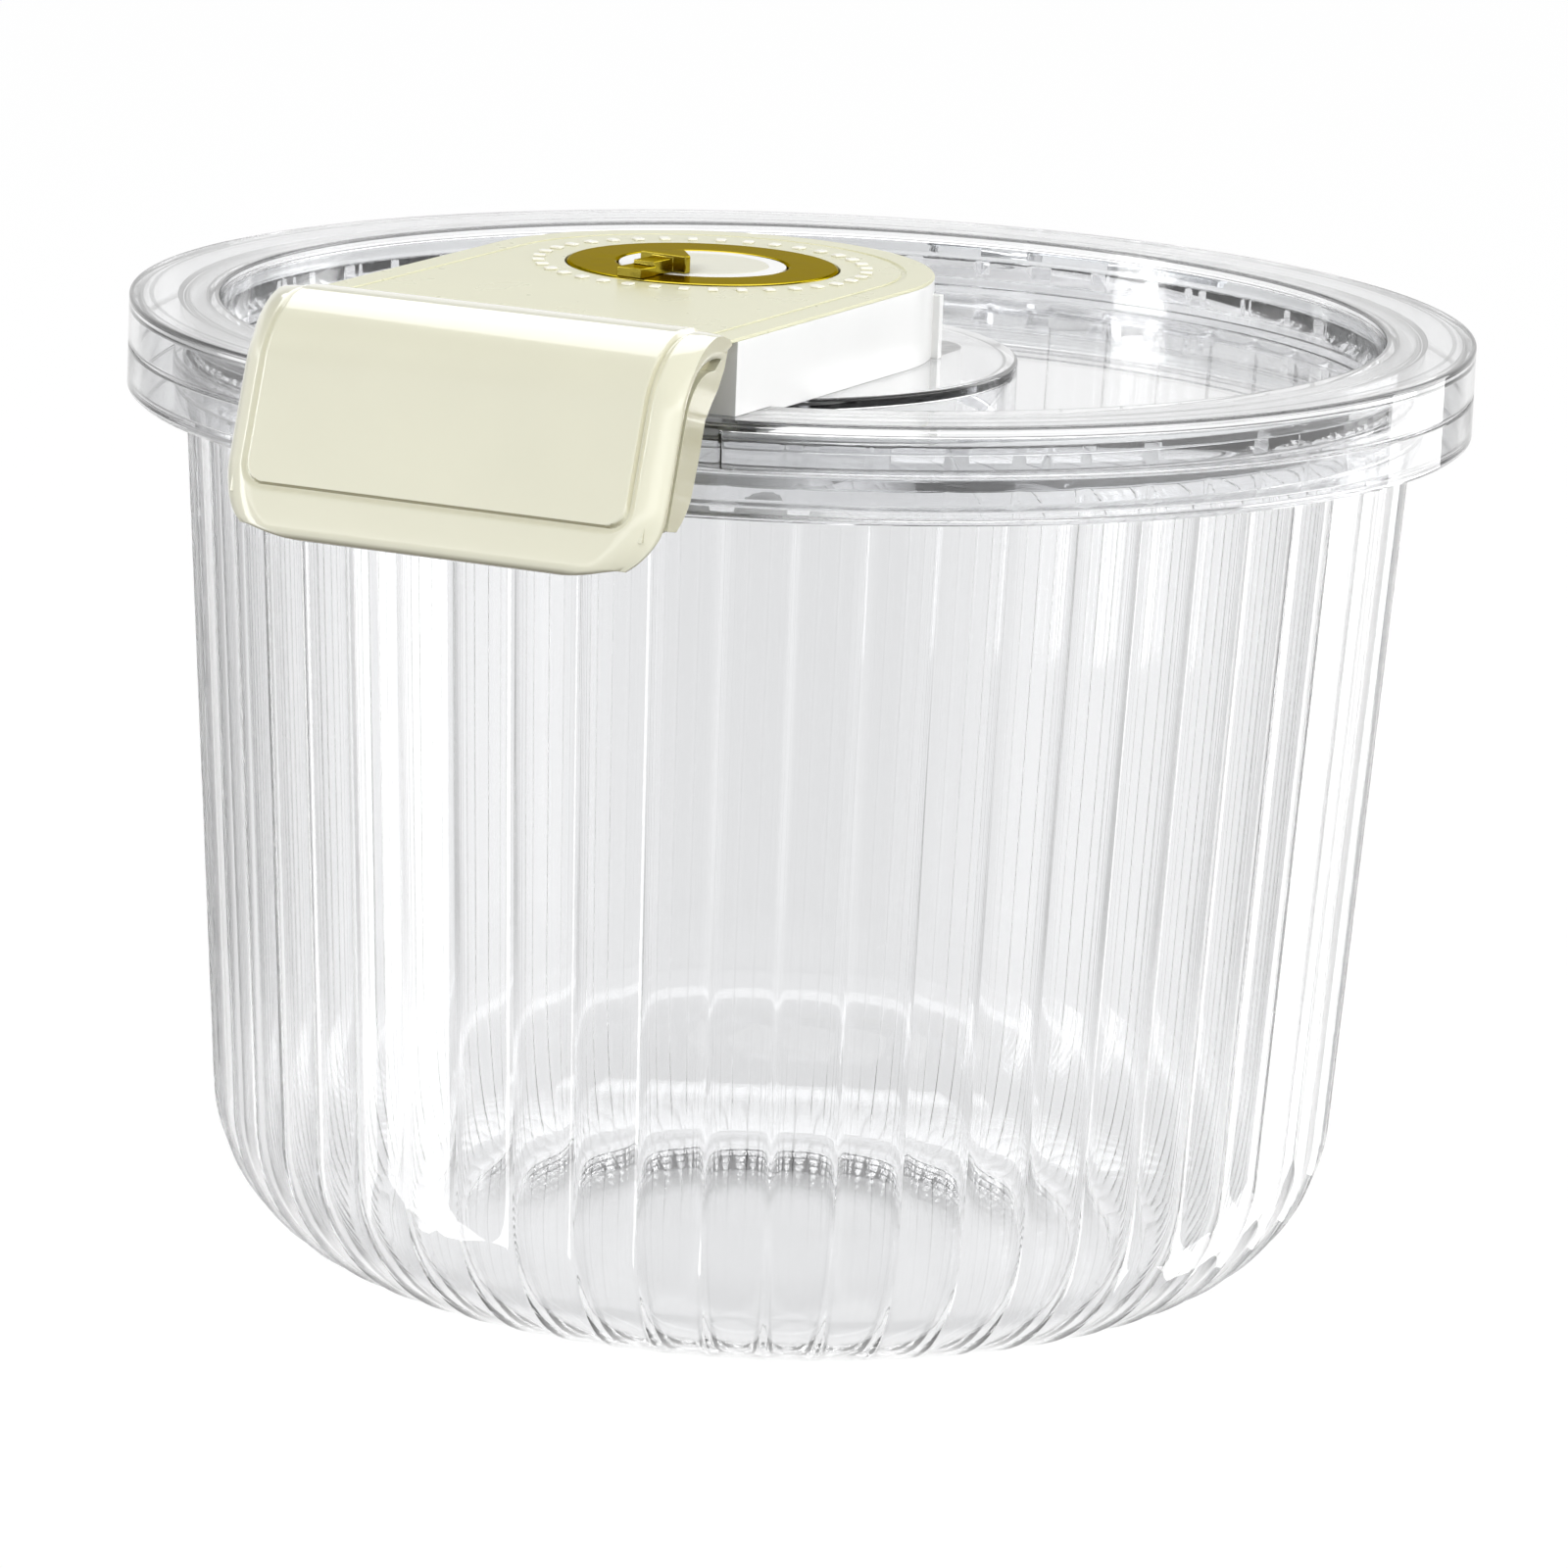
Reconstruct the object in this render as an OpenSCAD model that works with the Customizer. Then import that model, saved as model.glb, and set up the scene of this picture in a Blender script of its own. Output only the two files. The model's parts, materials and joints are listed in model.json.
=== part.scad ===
// Round clear rice bin with a flip lid, a front latch flap and a dial on the lid.
// Millimetres. Z is up, the base stands on z = 0, the flap is at the front (-Y) and the hinge at the back.

/* [Overall] */
// Outer diameter of the lid and of the collar under it
lid_d = 255; // [245:1:265]
// Height of the lid's rim above the floor
rim_h = 184.5; // [170:0.5:200]
// Wall thickness of the clear lid and collar
wall = 2.2; // [2:0.1:2.4]
// Height of the lid's outer band, and of the collar's band under it
band_h = 9; // [8.5:0.5:10]

/* [Tub] */
// Distance from the collar's face in to the ridges of the tub
skirt_overhang = 11.1; // [10.8:0.1:12]
// How much the tub's radius shrinks from the collar to the floor
taper = 11; // [8:0.5:14]
// Radius of the rounded bottom corner
corner_r = 35; // [30:1:40]
// Number of upright flutes round the tub
flute_count = 56; // [52:4:64]
// Depth of one flute
flute_depth = 1; // [0.6:0.1:1]
// Thickness of the tub from a ridge to its smooth inside
tub_wall = 2.8; // [2.6:0.1:3]

/* [Lid] */
// Width of the flat rim, from the lid's edge to its recessed pan
rim_w = 17; // [16.5:0.1:18]
// Depth of the pan below the rim
pan_depth = 12; // [11:0.5:13]
// Distance from the lid's front edge back to the dial's axis
dial_in = 83.5; // [82:0.5:85.5]
// Diameter of the round raised seat under the dial housing
seat_d = 118; // [114:1:120]
// Depth of the flat behind the flap, in from the lid's edge
notch_in = 8.1; // [7.7:0.1:8.5]

/* [Dial housing] */
// Width of the D-shaped top plate
plate_w = 86; // [82:1:88]
// Height of the plate's top above the rim
plate_rise = 14; // [13:0.5:15]
// Thickness of the plate
plate_t = 2.8; // [2.6:0.1:3.2]
// Wall thickness of the housing
housing_wall = 2; // [1.6:0.1:2.4]

/* [Dial] */
// Outer diameter of the gold ring
dial_d = 50.4; // [46:0.2:52]
// Inner diameter of the gold ring's face
dial_bore_d = 31.6; // [30:0.2:34]
// Turn of the pointer from straight ahead, in degrees
pointer_turn = -7; // [-40:1:40]
// Number of raised marks round the dial
mark_count = 36; // [24:4:40]

/* [Latch flap] */
// Width of the flap
flap_w = 87; // [84:1:90]
// How far the flap hangs below the rim
flap_drop = 25.5; // [24.5:0.5:28]
// Slant of the flap's face from upright, in degrees
flap_slant = 17; // [15:0.5:18]
// Thickness of the flap's shell
flap_t = 1.8; // [1.6:0.1:2]
// Radius of the flap's lower corners
flap_corner = 9; // [6:0.5:12]
// How far the flap's side edges fall back from its face
flap_bow = 3.8; // [3:0.2:4.2]
// How far the flap's middle panel stands out
panel_rise = 0.8; // [0.4:0.1:1]

/* [Pins and fits] */
// Radius of the rear hinge pin
hinge_pin_r = 1.5; // [1.3:0.1:1.6]
// Radius of the latch pin
latch_pin_r = 1.2; // [1:0.1:1.3]
// Radial play of a pin in a knuckle that turns on it
fit = 0.05; // [0.03:0.01:0.08]
// Gap between faces that move past each other
gap = 0.3; // [0.25:0.05:0.4]

/* [Desiccant box] */
// Width of the box under the lid
box_w = 80; // [74:1:82]
// Length of the box, front to back
box_l = 74; // [68:1:76]
// How far the box hangs below the lid's pan
box_drop = 3.5; // [2:0.5:5]

/* [Hidden] */

round_fn = 96;
clear = [0.86, 0.88, 0.9, 0.45];
cream = [0.91, 0.9, 0.82];
white = [0.97, 0.97, 0.96];
gold = [0.76, 0.62, 0.2];
steel = [0.7, 0.71, 0.73];

// Tub and collar
lid_r = lid_d / 2;
dial_y = lid_r - dial_in;
notch_y = lid_r - notch_in;
part_z = rim_h - band_h;
tub_h = part_z - band_h;
ridge_r = lid_r - skirt_overhang;
slope = atan(taper / tub_h);
base_r = ridge_r - taper + corner_r * (tan(slope) - 1 / cos(slope));
lip_t = 1.6;
lip_r = ridge_r - tub_wall + lip_t;
lip_z = rim_h - 5.5;
ledge_z = part_z - 2.3;
collar_bore = ridge_r + 0.15;

// Lid
pan_r = lid_r - rim_w;
pan_wall = 2;
pan_z = rim_h - pan_depth;
pan_under = pan_z - wall;
seat_r = seat_d / 2;
seat_z = rim_h - 1;
seat_under = seat_z - wall;
rib_t = 1.2;
gasket_h = 3;
rib_in = lip_r + 1.4;
rib_z = rim_h - wall - gasket_h - 1.6;

// Rear hinge: three knuckles on the collar, two on the lid
hinge_r = 4.2;
hinge_y = lid_r + hinge_r + gap;
collar_knuckles = [[-33, -20], [-9, 9], [20, 33]];
lid_knuckles = [[-20 + gap, -9 - gap], [9 + gap, 20 - gap]];

// Front catch on the collar
catch_w = 28;
catch_out = 2.5;
catch_h = 3.5;

// Housing, plate and dial
plate_r = plate_w / 2;
plate_front = notch_y - 0.7;
plate_lip = 0.6;
housing_front = plate_front - 2.5;
plate_z = rim_h + plate_rise;
plate_under = plate_z - plate_t;
dial_r = dial_d / 2;
face_r = dial_bore_d / 2;
recess = 1.6;
ring_z = plate_z - recess + 0.2;
ring_top = plate_z + 0.3;
ledge_top = plate_z - 0.7;
hub_top = plate_z + 0.2;
disc_seat = hub_top - 0.4;
disc_r = face_r - 3.6;
stem_r = 9;
clip_h = 1.2;
post_r = 3.8;
screw_r = 1.5;
screw_x = plate_r - 11;
screw_rows = [-dial_y - 27, -dial_y + 15];

// Latch flap, drawn in side view: u is the distance forward of the lid's centre, v the height over the rim
axis_u = notch_y + 5.1;
axis_v = plate_rise - 3.6;
latch_knuckle_r = 3;
top_v = plate_rise + 2;
roll_r = 16;
roll_u = axis_u + 2;
roll_v = top_v - roll_r;
face_u = roll_u + roll_r * cos(flap_slant);
face_v = roll_v + roll_r * sin(flap_slant);
web_v = -18;
lugs = [[-30, -24], [24, 30]];
flap_knuckles = [[-37, -30 - gap], [-8, 8], [30 + gap, 37]];
half_w = flap_w / 2;
low_r = 3;
border = 5.5;
panel_low = flap_drop - 9.3;
flange = 4.4;
shadow_gap = 2.2;

// Desiccant box
box_top = seat_under;
box_wall = 1.8;
box_floor = box_top - box_wall;
screw_h = plate_under - 2.2 - box_floor;
box_under = pan_under - box_drop;
box_corner = 10;
cover_t = 1.8;
cover_r = 2;
cover_y = -dial_y + box_l / 2 + cover_r + gap;
cover_z = box_under - gap - cover_t / 2;
cover_pin_r = 1;
ear_x = 24;
sachet_h = 6.5;

// ---------- helpers ----------

// Points of an arc in a plane, from angle a to angle b
function arc(cx, cy, r, a, b, n) =
    [for (i = [0:n]) let (t = a + (b - a) * i / n) [cx + r * cos(t), cy + r * sin(t)]];

// Unit normal to the right of the path at point i
function normal_at(p, i) =
    let (a = p[max(i - 1, 0)], b = p[min(i + 1, len(p) - 1)], d = b - a) [d[1], -d[0]] / norm(d);

// The path moved sideways by d, to its right
function beside(p, d) = [for (i = [0:len(p) - 1]) p[i] + d * normal_at(p, i)];

// The points in reverse order
function back(p) = [for (i = [len(p) - 1:-1:0]) p[i]];

// A strip of thickness t on the right of a path
function strip(p, t) = concat(p, back(beside(p, t)));

// A side view (u forward, v above the rim) as points in Y and Z
function side(p) = [for (q = p) [-q[0], rim_h + q[1]]];

// The D-shaped outline: straight sides from the front, round about the dial's axis at the back
function d_outline(r, front, n) = concat([[-r, -front], [r, -front]], arc(0, -dial_y, r, 0, 180, n));

// Extrudes a Y-Z outline along X between x0 and x1
module along_x(x0, x1) {
    translate([x0, 0, 0]) rotate([90, 0, 90]) linear_extrude(x1 - x0) children();
}

// A cylinder along X
module rod_x(x0, x1, y, z, r) {
    translate([x0, y, z]) rotate([0, 90, 0]) cylinder(h = x1 - x0, r = r, $fn = 48);
}

// A box given by its corners
module block(a, b) {
    translate(a) cube(b - a);
}

// A rectangle with round corners, centred
module round_rect(w, l, r) {
    polygon(concat(arc(w / 2 - r, l / 2 - r, r, 0, 90, 8), arc(-w / 2 + r, l / 2 - r, r, 90, 180, 8),
                   arc(-w / 2 + r, -l / 2 + r, r, 180, 270, 8), arc(w / 2 - r, -l / 2 + r, r, 270, 360, 8)));
}

// ---------- tub and collar ----------

flute_steps = 4;
round_steps = flute_count * flute_steps;

// Bottom corner from the floor up to the slanted wall
function corner(r, n) = arc(base_r, corner_r, r, -90, -slope, n);

// Outline of the tub, up the outside and down the inside: radius, height, share of the flute depth
tub_rings = concat(
    [for (q = corner(corner_r, 6)) [q[0], q[1], q[1] < 0.01 ? 0 : 1]],
    [[ridge_r, tub_h - 1, 1], [ridge_r, tub_h, 0], [ridge_r, ledge_z, 0], [lip_r, ledge_z, 0],
     [lip_r, lip_z, 0], [ridge_r - tub_wall, lip_z, 0], [ridge_r - tub_wall, tub_h, 0]],
    [for (q = back(corner(corner_r - tub_wall, 5))) [q[0], q[1], 0]]);

// Depth of the flute at step k: none on a ridge, full in the middle
function flute(k) = let (u = (k % flute_steps) / flute_steps) flute_depth * (1 - pow(2 * u - 1, 2));

module tub() {
    n = round_steps;
    m = len(tub_rings);
    points = concat(
        [for (q = tub_rings) for (k = [0:n - 1])
            let (r = q[0] - q[2] * flute(k), a = 360 * k / n) [r * cos(a), r * sin(a), q[1]]],
        [[0, 0, 0], [0, 0, tub_wall]]);
    sides = [for (i = [0:m - 2]) for (k = [0:n - 1])
        let (j = (k + 1) % n) [i * n + k, (i + 1) * n + k, (i + 1) * n + j, i * n + j]];
    under = [for (k = [0:n - 1]) [m * n, k, (k + 1) % n]];
    inside = [for (k = [0:n - 1]) [m * n + 1, (m - 1) * n + (k + 1) % n, (m - 1) * n + k]];
    color(clear) polyhedron(points, concat(sides, under, inside));
}

// A knuckle of the rear hinge with its arm, up (1) to the lid or down (-1) to the collar
module rear_knuckle(x, up, bore) {
    difference() {
        union() {
            rod_x(x[0], x[1], hinge_y, part_z, hinge_r);
            difference() {
                block([x[0], lid_r - 8, up > 0 ? part_z + gap : part_z - hinge_r],
                      [x[1], hinge_y, up > 0 ? part_z + hinge_r : part_z - gap]);
                translate([0, 0, part_z - 10]) cylinder(h = 20, r = lid_r - wall / 2, $fn = round_fn);
            }
        }
        rod_x(x[0] - 1, x[1] + 1, hinge_y, part_z, bore);
    }
}

module collar_ring() {
    z0 = tub_h;
    z1 = part_z - gap;
    in_r = collar_bore + wall;
    lip_in = lip_r + 0.15;
    color(clear) union() {
        rotate_extrude($fn = round_fn)
            polygon([[collar_bore, z0], [lid_r - 0.8, z0], [lid_r, z0 + 0.8], [lid_r, z1], [lid_r - wall, z1],
                     [lid_r - wall, z0 + wall], [in_r, z0 + wall], [in_r, part_z - 0.6], [lip_in, part_z - 0.6],
                     [lip_in, ledge_z], [collar_bore, ledge_z]]);
        for (x = collar_knuckles) rear_knuckle(x, -1, hinge_pin_r);
        difference() {
            block([-catch_w / 2, -lid_r - catch_out, z1 - catch_h], [catch_w / 2, -lid_r + 8, z1]);
            translate([0, 0, z0]) cylinder(h = 2 * band_h, r = lid_r - wall / 2, $fn = round_fn);
        }
    }
}

module hinge_pin() {
    ends = collar_knuckles[2][1];
    color(steel) union() {
        rod_x(-ends, ends, hinge_y, part_z, hinge_pin_r);
        rod_x(ends, ends + 1, hinge_y, part_z, hinge_pin_r + 1);
        rod_x(-ends - 1, -ends, hinge_y, part_z, hinge_pin_r + 1);
    }
}

// ---------- lid ----------

// A disc cut straight behind the flap
module notched_disc(r, y) {
    intersection() {
        circle(r = r, $fn = round_fn);
        translate([-2 * r, -y]) square([4 * r, y + 2 * r]);
    }
}

module lid_panel() {
    color(clear) difference() {
        union() {
            // outer band
            translate([0, 0, part_z]) linear_extrude(band_h - wall / 2) difference() {
                notched_disc(lid_r, notch_y);
                notched_disc(lid_r - wall, notch_y - wall);
            }
            // flat rim
            translate([0, 0, rim_h - wall]) linear_extrude(wall) difference() {
                notched_disc(lid_r, notch_y);
                circle(r = pan_r + pan_wall / 2, $fn = round_fn);
            }
            // pan wall, floor and gasket rib
            rotate_extrude($fn = round_fn)
                polygon([[0, pan_under], [pan_r + pan_wall, pan_under], [pan_r + pan_wall, rim_h],
                         [pan_r, rim_h], [pan_r, pan_z], [0, pan_z]]);
            rotate_extrude($fn = round_fn)
                polygon([[rib_in, rib_z], [rib_in + rib_t, rib_z], [rib_in + rib_t, rim_h - wall / 2],
                         [rib_in, rim_h - wall / 2]]);
            // raised seat under the housing
            translate([0, -dial_y, 0]) rotate_extrude($fn = round_fn)
                polygon([[0, pan_under], [seat_r, pan_under], [seat_r, seat_z - 1.2],
                         [seat_r - 0.35, seat_z - 0.35], [seat_r - 1.2, seat_z], [0, seat_z]]);
            for (x = lid_knuckles) rear_knuckle(x, 1, hinge_pin_r + fit);
        }
        translate([0, -dial_y, pan_under - 1])
            cylinder(h = seat_under - pan_under + 1, r = seat_r - wall, $fn = round_fn);
        screw_places() cylinder(h = pan_depth, r = screw_r + 0.2, $fn = 32);
    }
}

module lid_gasket() {
    color([0.9, 0.9, 0.88]) rotate_extrude($fn = round_fn)
        polygon([[pan_r + pan_wall, rim_h - wall - gasket_h], [rib_in, rim_h - wall - gasket_h],
                 [rib_in, rim_h - wall], [pan_r + pan_wall, rim_h - wall]]);
}

// ---------- housing, plate and dial ----------

// Puts its child under each of the four screws, on the lower face of the box's ceiling
module screw_places() {
    for (x = [-screw_x, screw_x]) for (y = screw_rows) translate([x, y, box_floor]) children();
}

module dial_housing() {
    lug_foot = rim_h + 1.6;
    axis_z = rim_h + axis_v;
    neck = 1.7;
    post_h = plate_under - gap - seat_z;
    color(white) difference() {
        union() {
            translate([0, 0, seat_z]) linear_extrude(plate_z - plate_lip - seat_z) difference() {
                polygon(d_outline(plate_r, housing_front, 32));
                polygon(d_outline(plate_r - housing_wall, housing_front - housing_wall, 32));
            }
            // screw posts, each tied to the side wall by a rib
            for (x = [-screw_x, screw_x]) for (y = screw_rows) {
                rib_x = sign(x) * (plate_r - 1);
                translate([x, y, seat_z]) cylinder(h = post_h, r = post_r, $fn = 40);
                block([min(x, rib_x), y - 0.8, seat_z], [max(x, rib_x), y + 0.8, seat_z + post_h]);
            }
            for (x = lugs) {
                rod_x(x[0], x[1], -axis_u, axis_z, latch_knuckle_r);
                block([x[0], -axis_u - neck, lug_foot], [x[1], -axis_u + neck, axis_z]);
                block([x[0], -axis_u - neck, lug_foot],
                      [x[1], -housing_front + housing_wall / 2, lug_foot + 2.8]);
            }
        }
        // room for the lid's rim, for the screws and for the pin
        difference() {
            translate([0, 0, rim_h - 5]) cylinder(h = 5, r = lid_r + 10, $fn = round_fn);
            translate([0, 0, rim_h - 6]) cylinder(h = 7, r = pan_r, $fn = round_fn);
        }
        screw_places() cylinder(h = screw_h, r = screw_r, $fn = 32);
        for (x = lugs) rod_x(x[0] - 1, x[1] + 1, -axis_u, axis_z, latch_pin_r);
    }
}

module housing_screws() {
    color(steel) screw_places() difference() {
        union() {
            cylinder(h = screw_h, r = screw_r, $fn = 32);
            translate([0, 0, -1.8]) cylinder(h = 1.8, r = 2.8, $fn = 32);
        }
        for (a = [0, 90]) rotate(a) translate([-1.6, -0.35, -2]) cube([3.2, 0.7, 1.2]);
    }
}

module top_plate() {
    color(cream) difference() {
        union() {
            // thin lip that covers the housing's walls, and the thicker middle that fits between them
            translate([0, 0, plate_z - plate_lip]) linear_extrude(plate_lip - 0.25)
                polygon(d_outline(plate_r, plate_front, 48));
            translate([0, 0, plate_z - 0.25]) linear_extrude(0.25)
                polygon(d_outline(plate_r - 0.25, plate_front, 48));
            translate([0, 0, plate_under]) linear_extrude(plate_t - plate_lip / 2)
                polygon(d_outline(plate_r - housing_wall - 0.1, housing_front - housing_wall - 0.1, 32));
        }
        // dial recess and hub bore
        translate([0, -dial_y, plate_z - recess]) cylinder(h = 2, r = dial_r + gap, $fn = round_fn);
        translate([0, -dial_y, plate_under - 1]) cylinder(h = 5, r = stem_r + 0.02, $fn = round_fn);
        // inset line along the sides and round the back
        translate([0, 0, plate_z - 0.3]) linear_extrude(1) difference() {
            polygon(d_outline(plate_r - 5.3, plate_front + 2, 48));
            polygon(d_outline(plate_r - 6.3, plate_front + 4, 48));
        }
    }
}

module scale_marks() {
    mark_r = dial_r + 5.2;
    color([0.97, 0.96, 0.9]) translate([0, -dial_y, plate_z]) for (i = [0:mark_count - 1])
        rotate(360 * i / mark_count) translate([mark_r - 1.1, -0.9, 0]) cube([2.2, 1.8, 0.4]);
}

module dial_hub() {
    color(white) translate([0, -dial_y, 0]) difference() {
        union() {
            translate([0, 0, ledge_top + 0.2])
                cylinder(h = hub_top - ledge_top - 0.2, r = face_r - gap, $fn = round_fn);
            translate([0, 0, plate_under - clip_h - 1])
                cylinder(h = hub_top - plate_under + clip_h, r = stem_r, $fn = round_fn);
        }
        translate([0, 0, disc_seat]) cylinder(h = 2, r = disc_r, $fn = round_fn);
        // groove for the clip
        translate([0, 0, plate_under - clip_h]) difference() {
            cylinder(h = clip_h, r = stem_r + 1, $fn = round_fn);
            translate([0, 0, -1]) cylinder(h = clip_h + 2, r = stem_r - 1, $fn = round_fn);
        }
    }
}

module hub_clip() {
    color(steel) translate([0, -dial_y, plate_under - clip_h]) difference() {
        cylinder(h = clip_h, r = stem_r + 2.5, $fn = round_fn);
        translate([0, 0, -1]) cylinder(h = clip_h + 2, r = stem_r - 1, $fn = round_fn);
        translate([0, -3, -1]) cube([20, 6, clip_h + 2]);
    }
}

module centre_disc() {
    color([0.93, 0.9, 0.82]) translate([0, -dial_y, disc_seat])
        cylinder(h = hub_top + 0.1 - disc_seat, r = disc_r, $fn = round_fn);
}

module dial_ring() {
    color(gold) translate([0, -dial_y, 0]) rotate_extrude($fn = round_fn)
        polygon([[stem_r + fit, ring_z], [dial_r, ring_z], [dial_r, ring_top - 0.3], [dial_r - 0.4, ring_top],
                 [face_r + 0.4, ring_top], [face_r, ring_top - 0.3], [face_r, ledge_top],
                 [stem_r + fit, ledge_top]]);
}

// Stepped grip on the ring that ends in an arrowhead over the hub
module dial_pointer() {
    color(gold) translate([0, -dial_y, ring_top]) rotate(-90 + pointer_turn) union() {
        translate([face_r + 3.6, -2.6, 0]) cube([dial_r - face_r - 4.2, 5.2, 1.8]);
        translate([face_r - 4, -2.2, 0]) cube([8, 4.4, 2.6]);
        linear_extrude(3.2)
            polygon([[face_r - 9.5, 0], [face_r - 4, -5], [face_r - 2.4, -5], [face_r - 2.4, 5], [face_r - 4, 5]]);
    }
}

// ---------- latch flap ----------

module latch_pin() {
    color(steel) rod_x(-flap_knuckles[2][1], flap_knuckles[2][1], -axis_u, rim_h + axis_v, latch_pin_r);
}

// Distance forward of the flap's flat face at height v
function face_at(v) = face_u + (face_v - v) * tan(flap_slant);

// Side path of the flap's outer face: from its rear edge to the roll, over the roll, down the slanted front
flap_roll = arc(roll_u, roll_v, roll_r, 90, flap_slant, 12);
flap_rear = [[axis_u - 5.3, plate_rise - 0.6], [axis_u - 4.9, plate_rise + 0.2], [axis_u - 3.5, top_v - 0.9],
             [axis_u - 1.5, top_v - 0.25]];
low_v = low_r - flap_drop;
low_u = face_at(low_v + low_r * sin(flap_slant)) - low_r * cos(flap_slant);
flap_face = concat(flap_rear, flap_roll, arc(low_u, low_v, low_r, flap_slant, -90, 8));
flap_roll_down = concat(flap_roll, [[face_at(web_v), web_v]]);
border_v = low_v + low_r;
panel_face = concat([(flap_rear[3] + flap_roll[0]) / 2], flap_roll, [[face_at(low_v), low_v]]);

// Side path of the rear leg, from the rear edge down to the web behind the face
flap_leg = concat(
    [[axis_u - 4.9, plate_rise - 1], [axis_u - 3.6, axis_v - 1.2], [axis_u - 1.4, axis_v - 4.5],
     [axis_u + 1.4, axis_v - 7.3], [axis_u + 3.3, axis_v - 9.6], [axis_u + 5, -5], [axis_u + 6.6, -9.5],
     [axis_u + 8.4, web_v + 4.5]],
    arc(axis_u + 12, web_v + 3.6, 3.6, 165, 270, 5),
    [[face_at(web_v) - flap_t / 2, web_v]]);

// Front outline with round lower corners: half width, height of its lower edge over the rim, corner radius
module front_outline(w, low, r) {
    polygon(concat([[w, rim_h + top_v + 2], [-w, rim_h + top_v + 2]],
                   arc(-w + r, rim_h + low + r, r, 180, 270, 8), arc(w - r, rim_h + low + r, r, 270, 360, 8)));
}

// Extrudes a front outline through the whole flap, front to back
module through_flap() {
    translate([0, -face_u + 40, 0]) rotate([90, 0, 0]) linear_extrude(80) children();
}

// A block whose front touches the flap's roll where it slants by a, with side edges that fall back by s
module bowed_block(a, s) {
    w = half_w + 0.4;
    b = border + 0.9;
    r = (b * b + s * s) / (2 * s);
    edge = [for (i = [0:6]) let (t = 2 * atan(s / b) * i / 6) [w - b + r * sin(t), r * cos(t) - r]];
    reach = roll_r + 0.02;
    translate([0, -roll_u - reach * cos(a), rim_h + roll_v + reach * sin(a)]) rotate([180 - a, 0, 0])
        linear_extrude(160, center = true)
            polygon(concat(edge, [[w, -60], [-w, -60]], [for (q = back(edge)) [-q[0], q[1]]]));
}

// Slots in the rear leg for the housing's lugs
module lug_slots() {
    for (x = lugs)
        block([x[0] - gap, -axis_u - 3.8, rim_h + 1], [x[1] + gap, -axis_u + 8, rim_h + axis_v + 2]);
}

module latch_flap() {
    hook_tip = lid_r + catch_out + gap + 0.2;
    hook_top = part_z - gap - catch_h - 0.6 - rim_h;
    side_in = half_w - 3.9;
    side_out = half_w - 0.6;
    inner_face = beside(concat(flap_rear, flap_roll, [[face_at(web_v), web_v]]), flap_t / 2);
    border_in = side_in + 0.6;
    border_side = strip(beside(concat(flap_roll, [[face_at(border_v), border_v]]), flap_t / 2),
                        flange - flap_t / 2);
    color(cream) difference() {
        union() {
            intersection() {
                union() {
                    along_x(-half_w - 1, half_w + 1) polygon(side(strip(flap_face, flap_t)));
                    difference() {
                        along_x(-side_in - 1, side_in + 1) polygon(side(strip(flap_leg, -1.6)));
                        lug_slots();
                    }
                    // side walls, and the thicker border in front of them
                    for (x = [-side_out, side_in])
                        along_x(x, x + side_out - side_in) polygon(side(concat(inner_face, back(flap_leg))));
                    for (x = [-half_w - 1, border_in])
                        along_x(x, x + half_w + 1 - border_in) polygon(side(border_side));
                    for (x = flap_knuckles) {
                        rod_x(x[0], x[1], -axis_u, rim_h + axis_v, latch_knuckle_r);
                        block([x[0], -axis_u - 1.2, rim_h + axis_v], [x[1], -axis_u + 1.2, rim_h + top_v - 1]);
                    }
                    // hook that reaches under the collar's catch
                    along_x(-catch_w / 2, catch_w / 2)
                        polygon(side([[axis_u + 9.6, hook_top - 4], [axis_u + 9.6, hook_top], [hook_tip, hook_top],
                                      [hook_tip, hook_top - 1.2]]));
                }
                through_flap() front_outline(half_w, -flap_drop - 1, flap_corner + 1);
                bowed_block(flap_slant, flap_bow);
                bowed_block(flap_slant + 25, flap_bow * 0.45);
            }
            // raised middle panel in two steps
            for (step = [0, 1]) intersection() {
                along_x(-half_w, half_w)
                    polygon(side(strip(beside(panel_face, -panel_rise * (1 + step) / 2), flap_t)));
                through_flap()
                    front_outline(half_w - border - 0.6 * step, -panel_low + 0.6 * step, flap_corner / 2);
            }
        }
        // shadow gap between the border and the side walls
        for (x = [-half_w - 1, half_w - 2.5])
            along_x(x, x + 3.5) polygon(side(strip(beside(flap_roll_down, flange - 0.5), shadow_gap + 0.5)));
        for (x = flap_knuckles) rod_x(x[0] - 1, x[1] + 1, -axis_u, rim_h + axis_v, latch_pin_r + fit);
    }
}

// ---------- desiccant box ----------

module desiccant_box() {
    color(white) difference() {
        union() {
            translate([0, -dial_y, box_under]) linear_extrude(box_top - box_under)
                round_rect(box_w, box_l, box_corner);
            for (x = [-ear_x - 4, ear_x]) {
                rod_x(x, x + 4, cover_y, cover_z, cover_r);
                block([x, cover_y - cover_r, cover_z], [x + 4, cover_y + cover_r, cover_z + 7]);
                block([x, cover_y - cover_r - 1, box_under], [x + 4, cover_y, cover_z + 7]);
            }
        }
        translate([0, -dial_y, box_under - 1]) linear_extrude(box_floor - box_under + 1)
            round_rect(box_w - 2 * box_wall, box_l - 2 * box_wall, box_corner - box_wall);
        screw_places() cylinder(h = box_wall + 1, r = screw_r + 0.2, $fn = 32);
        rod_x(-ear_x - 5, ear_x + 5, cover_y, cover_z, cover_pin_r);
    }
}

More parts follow.
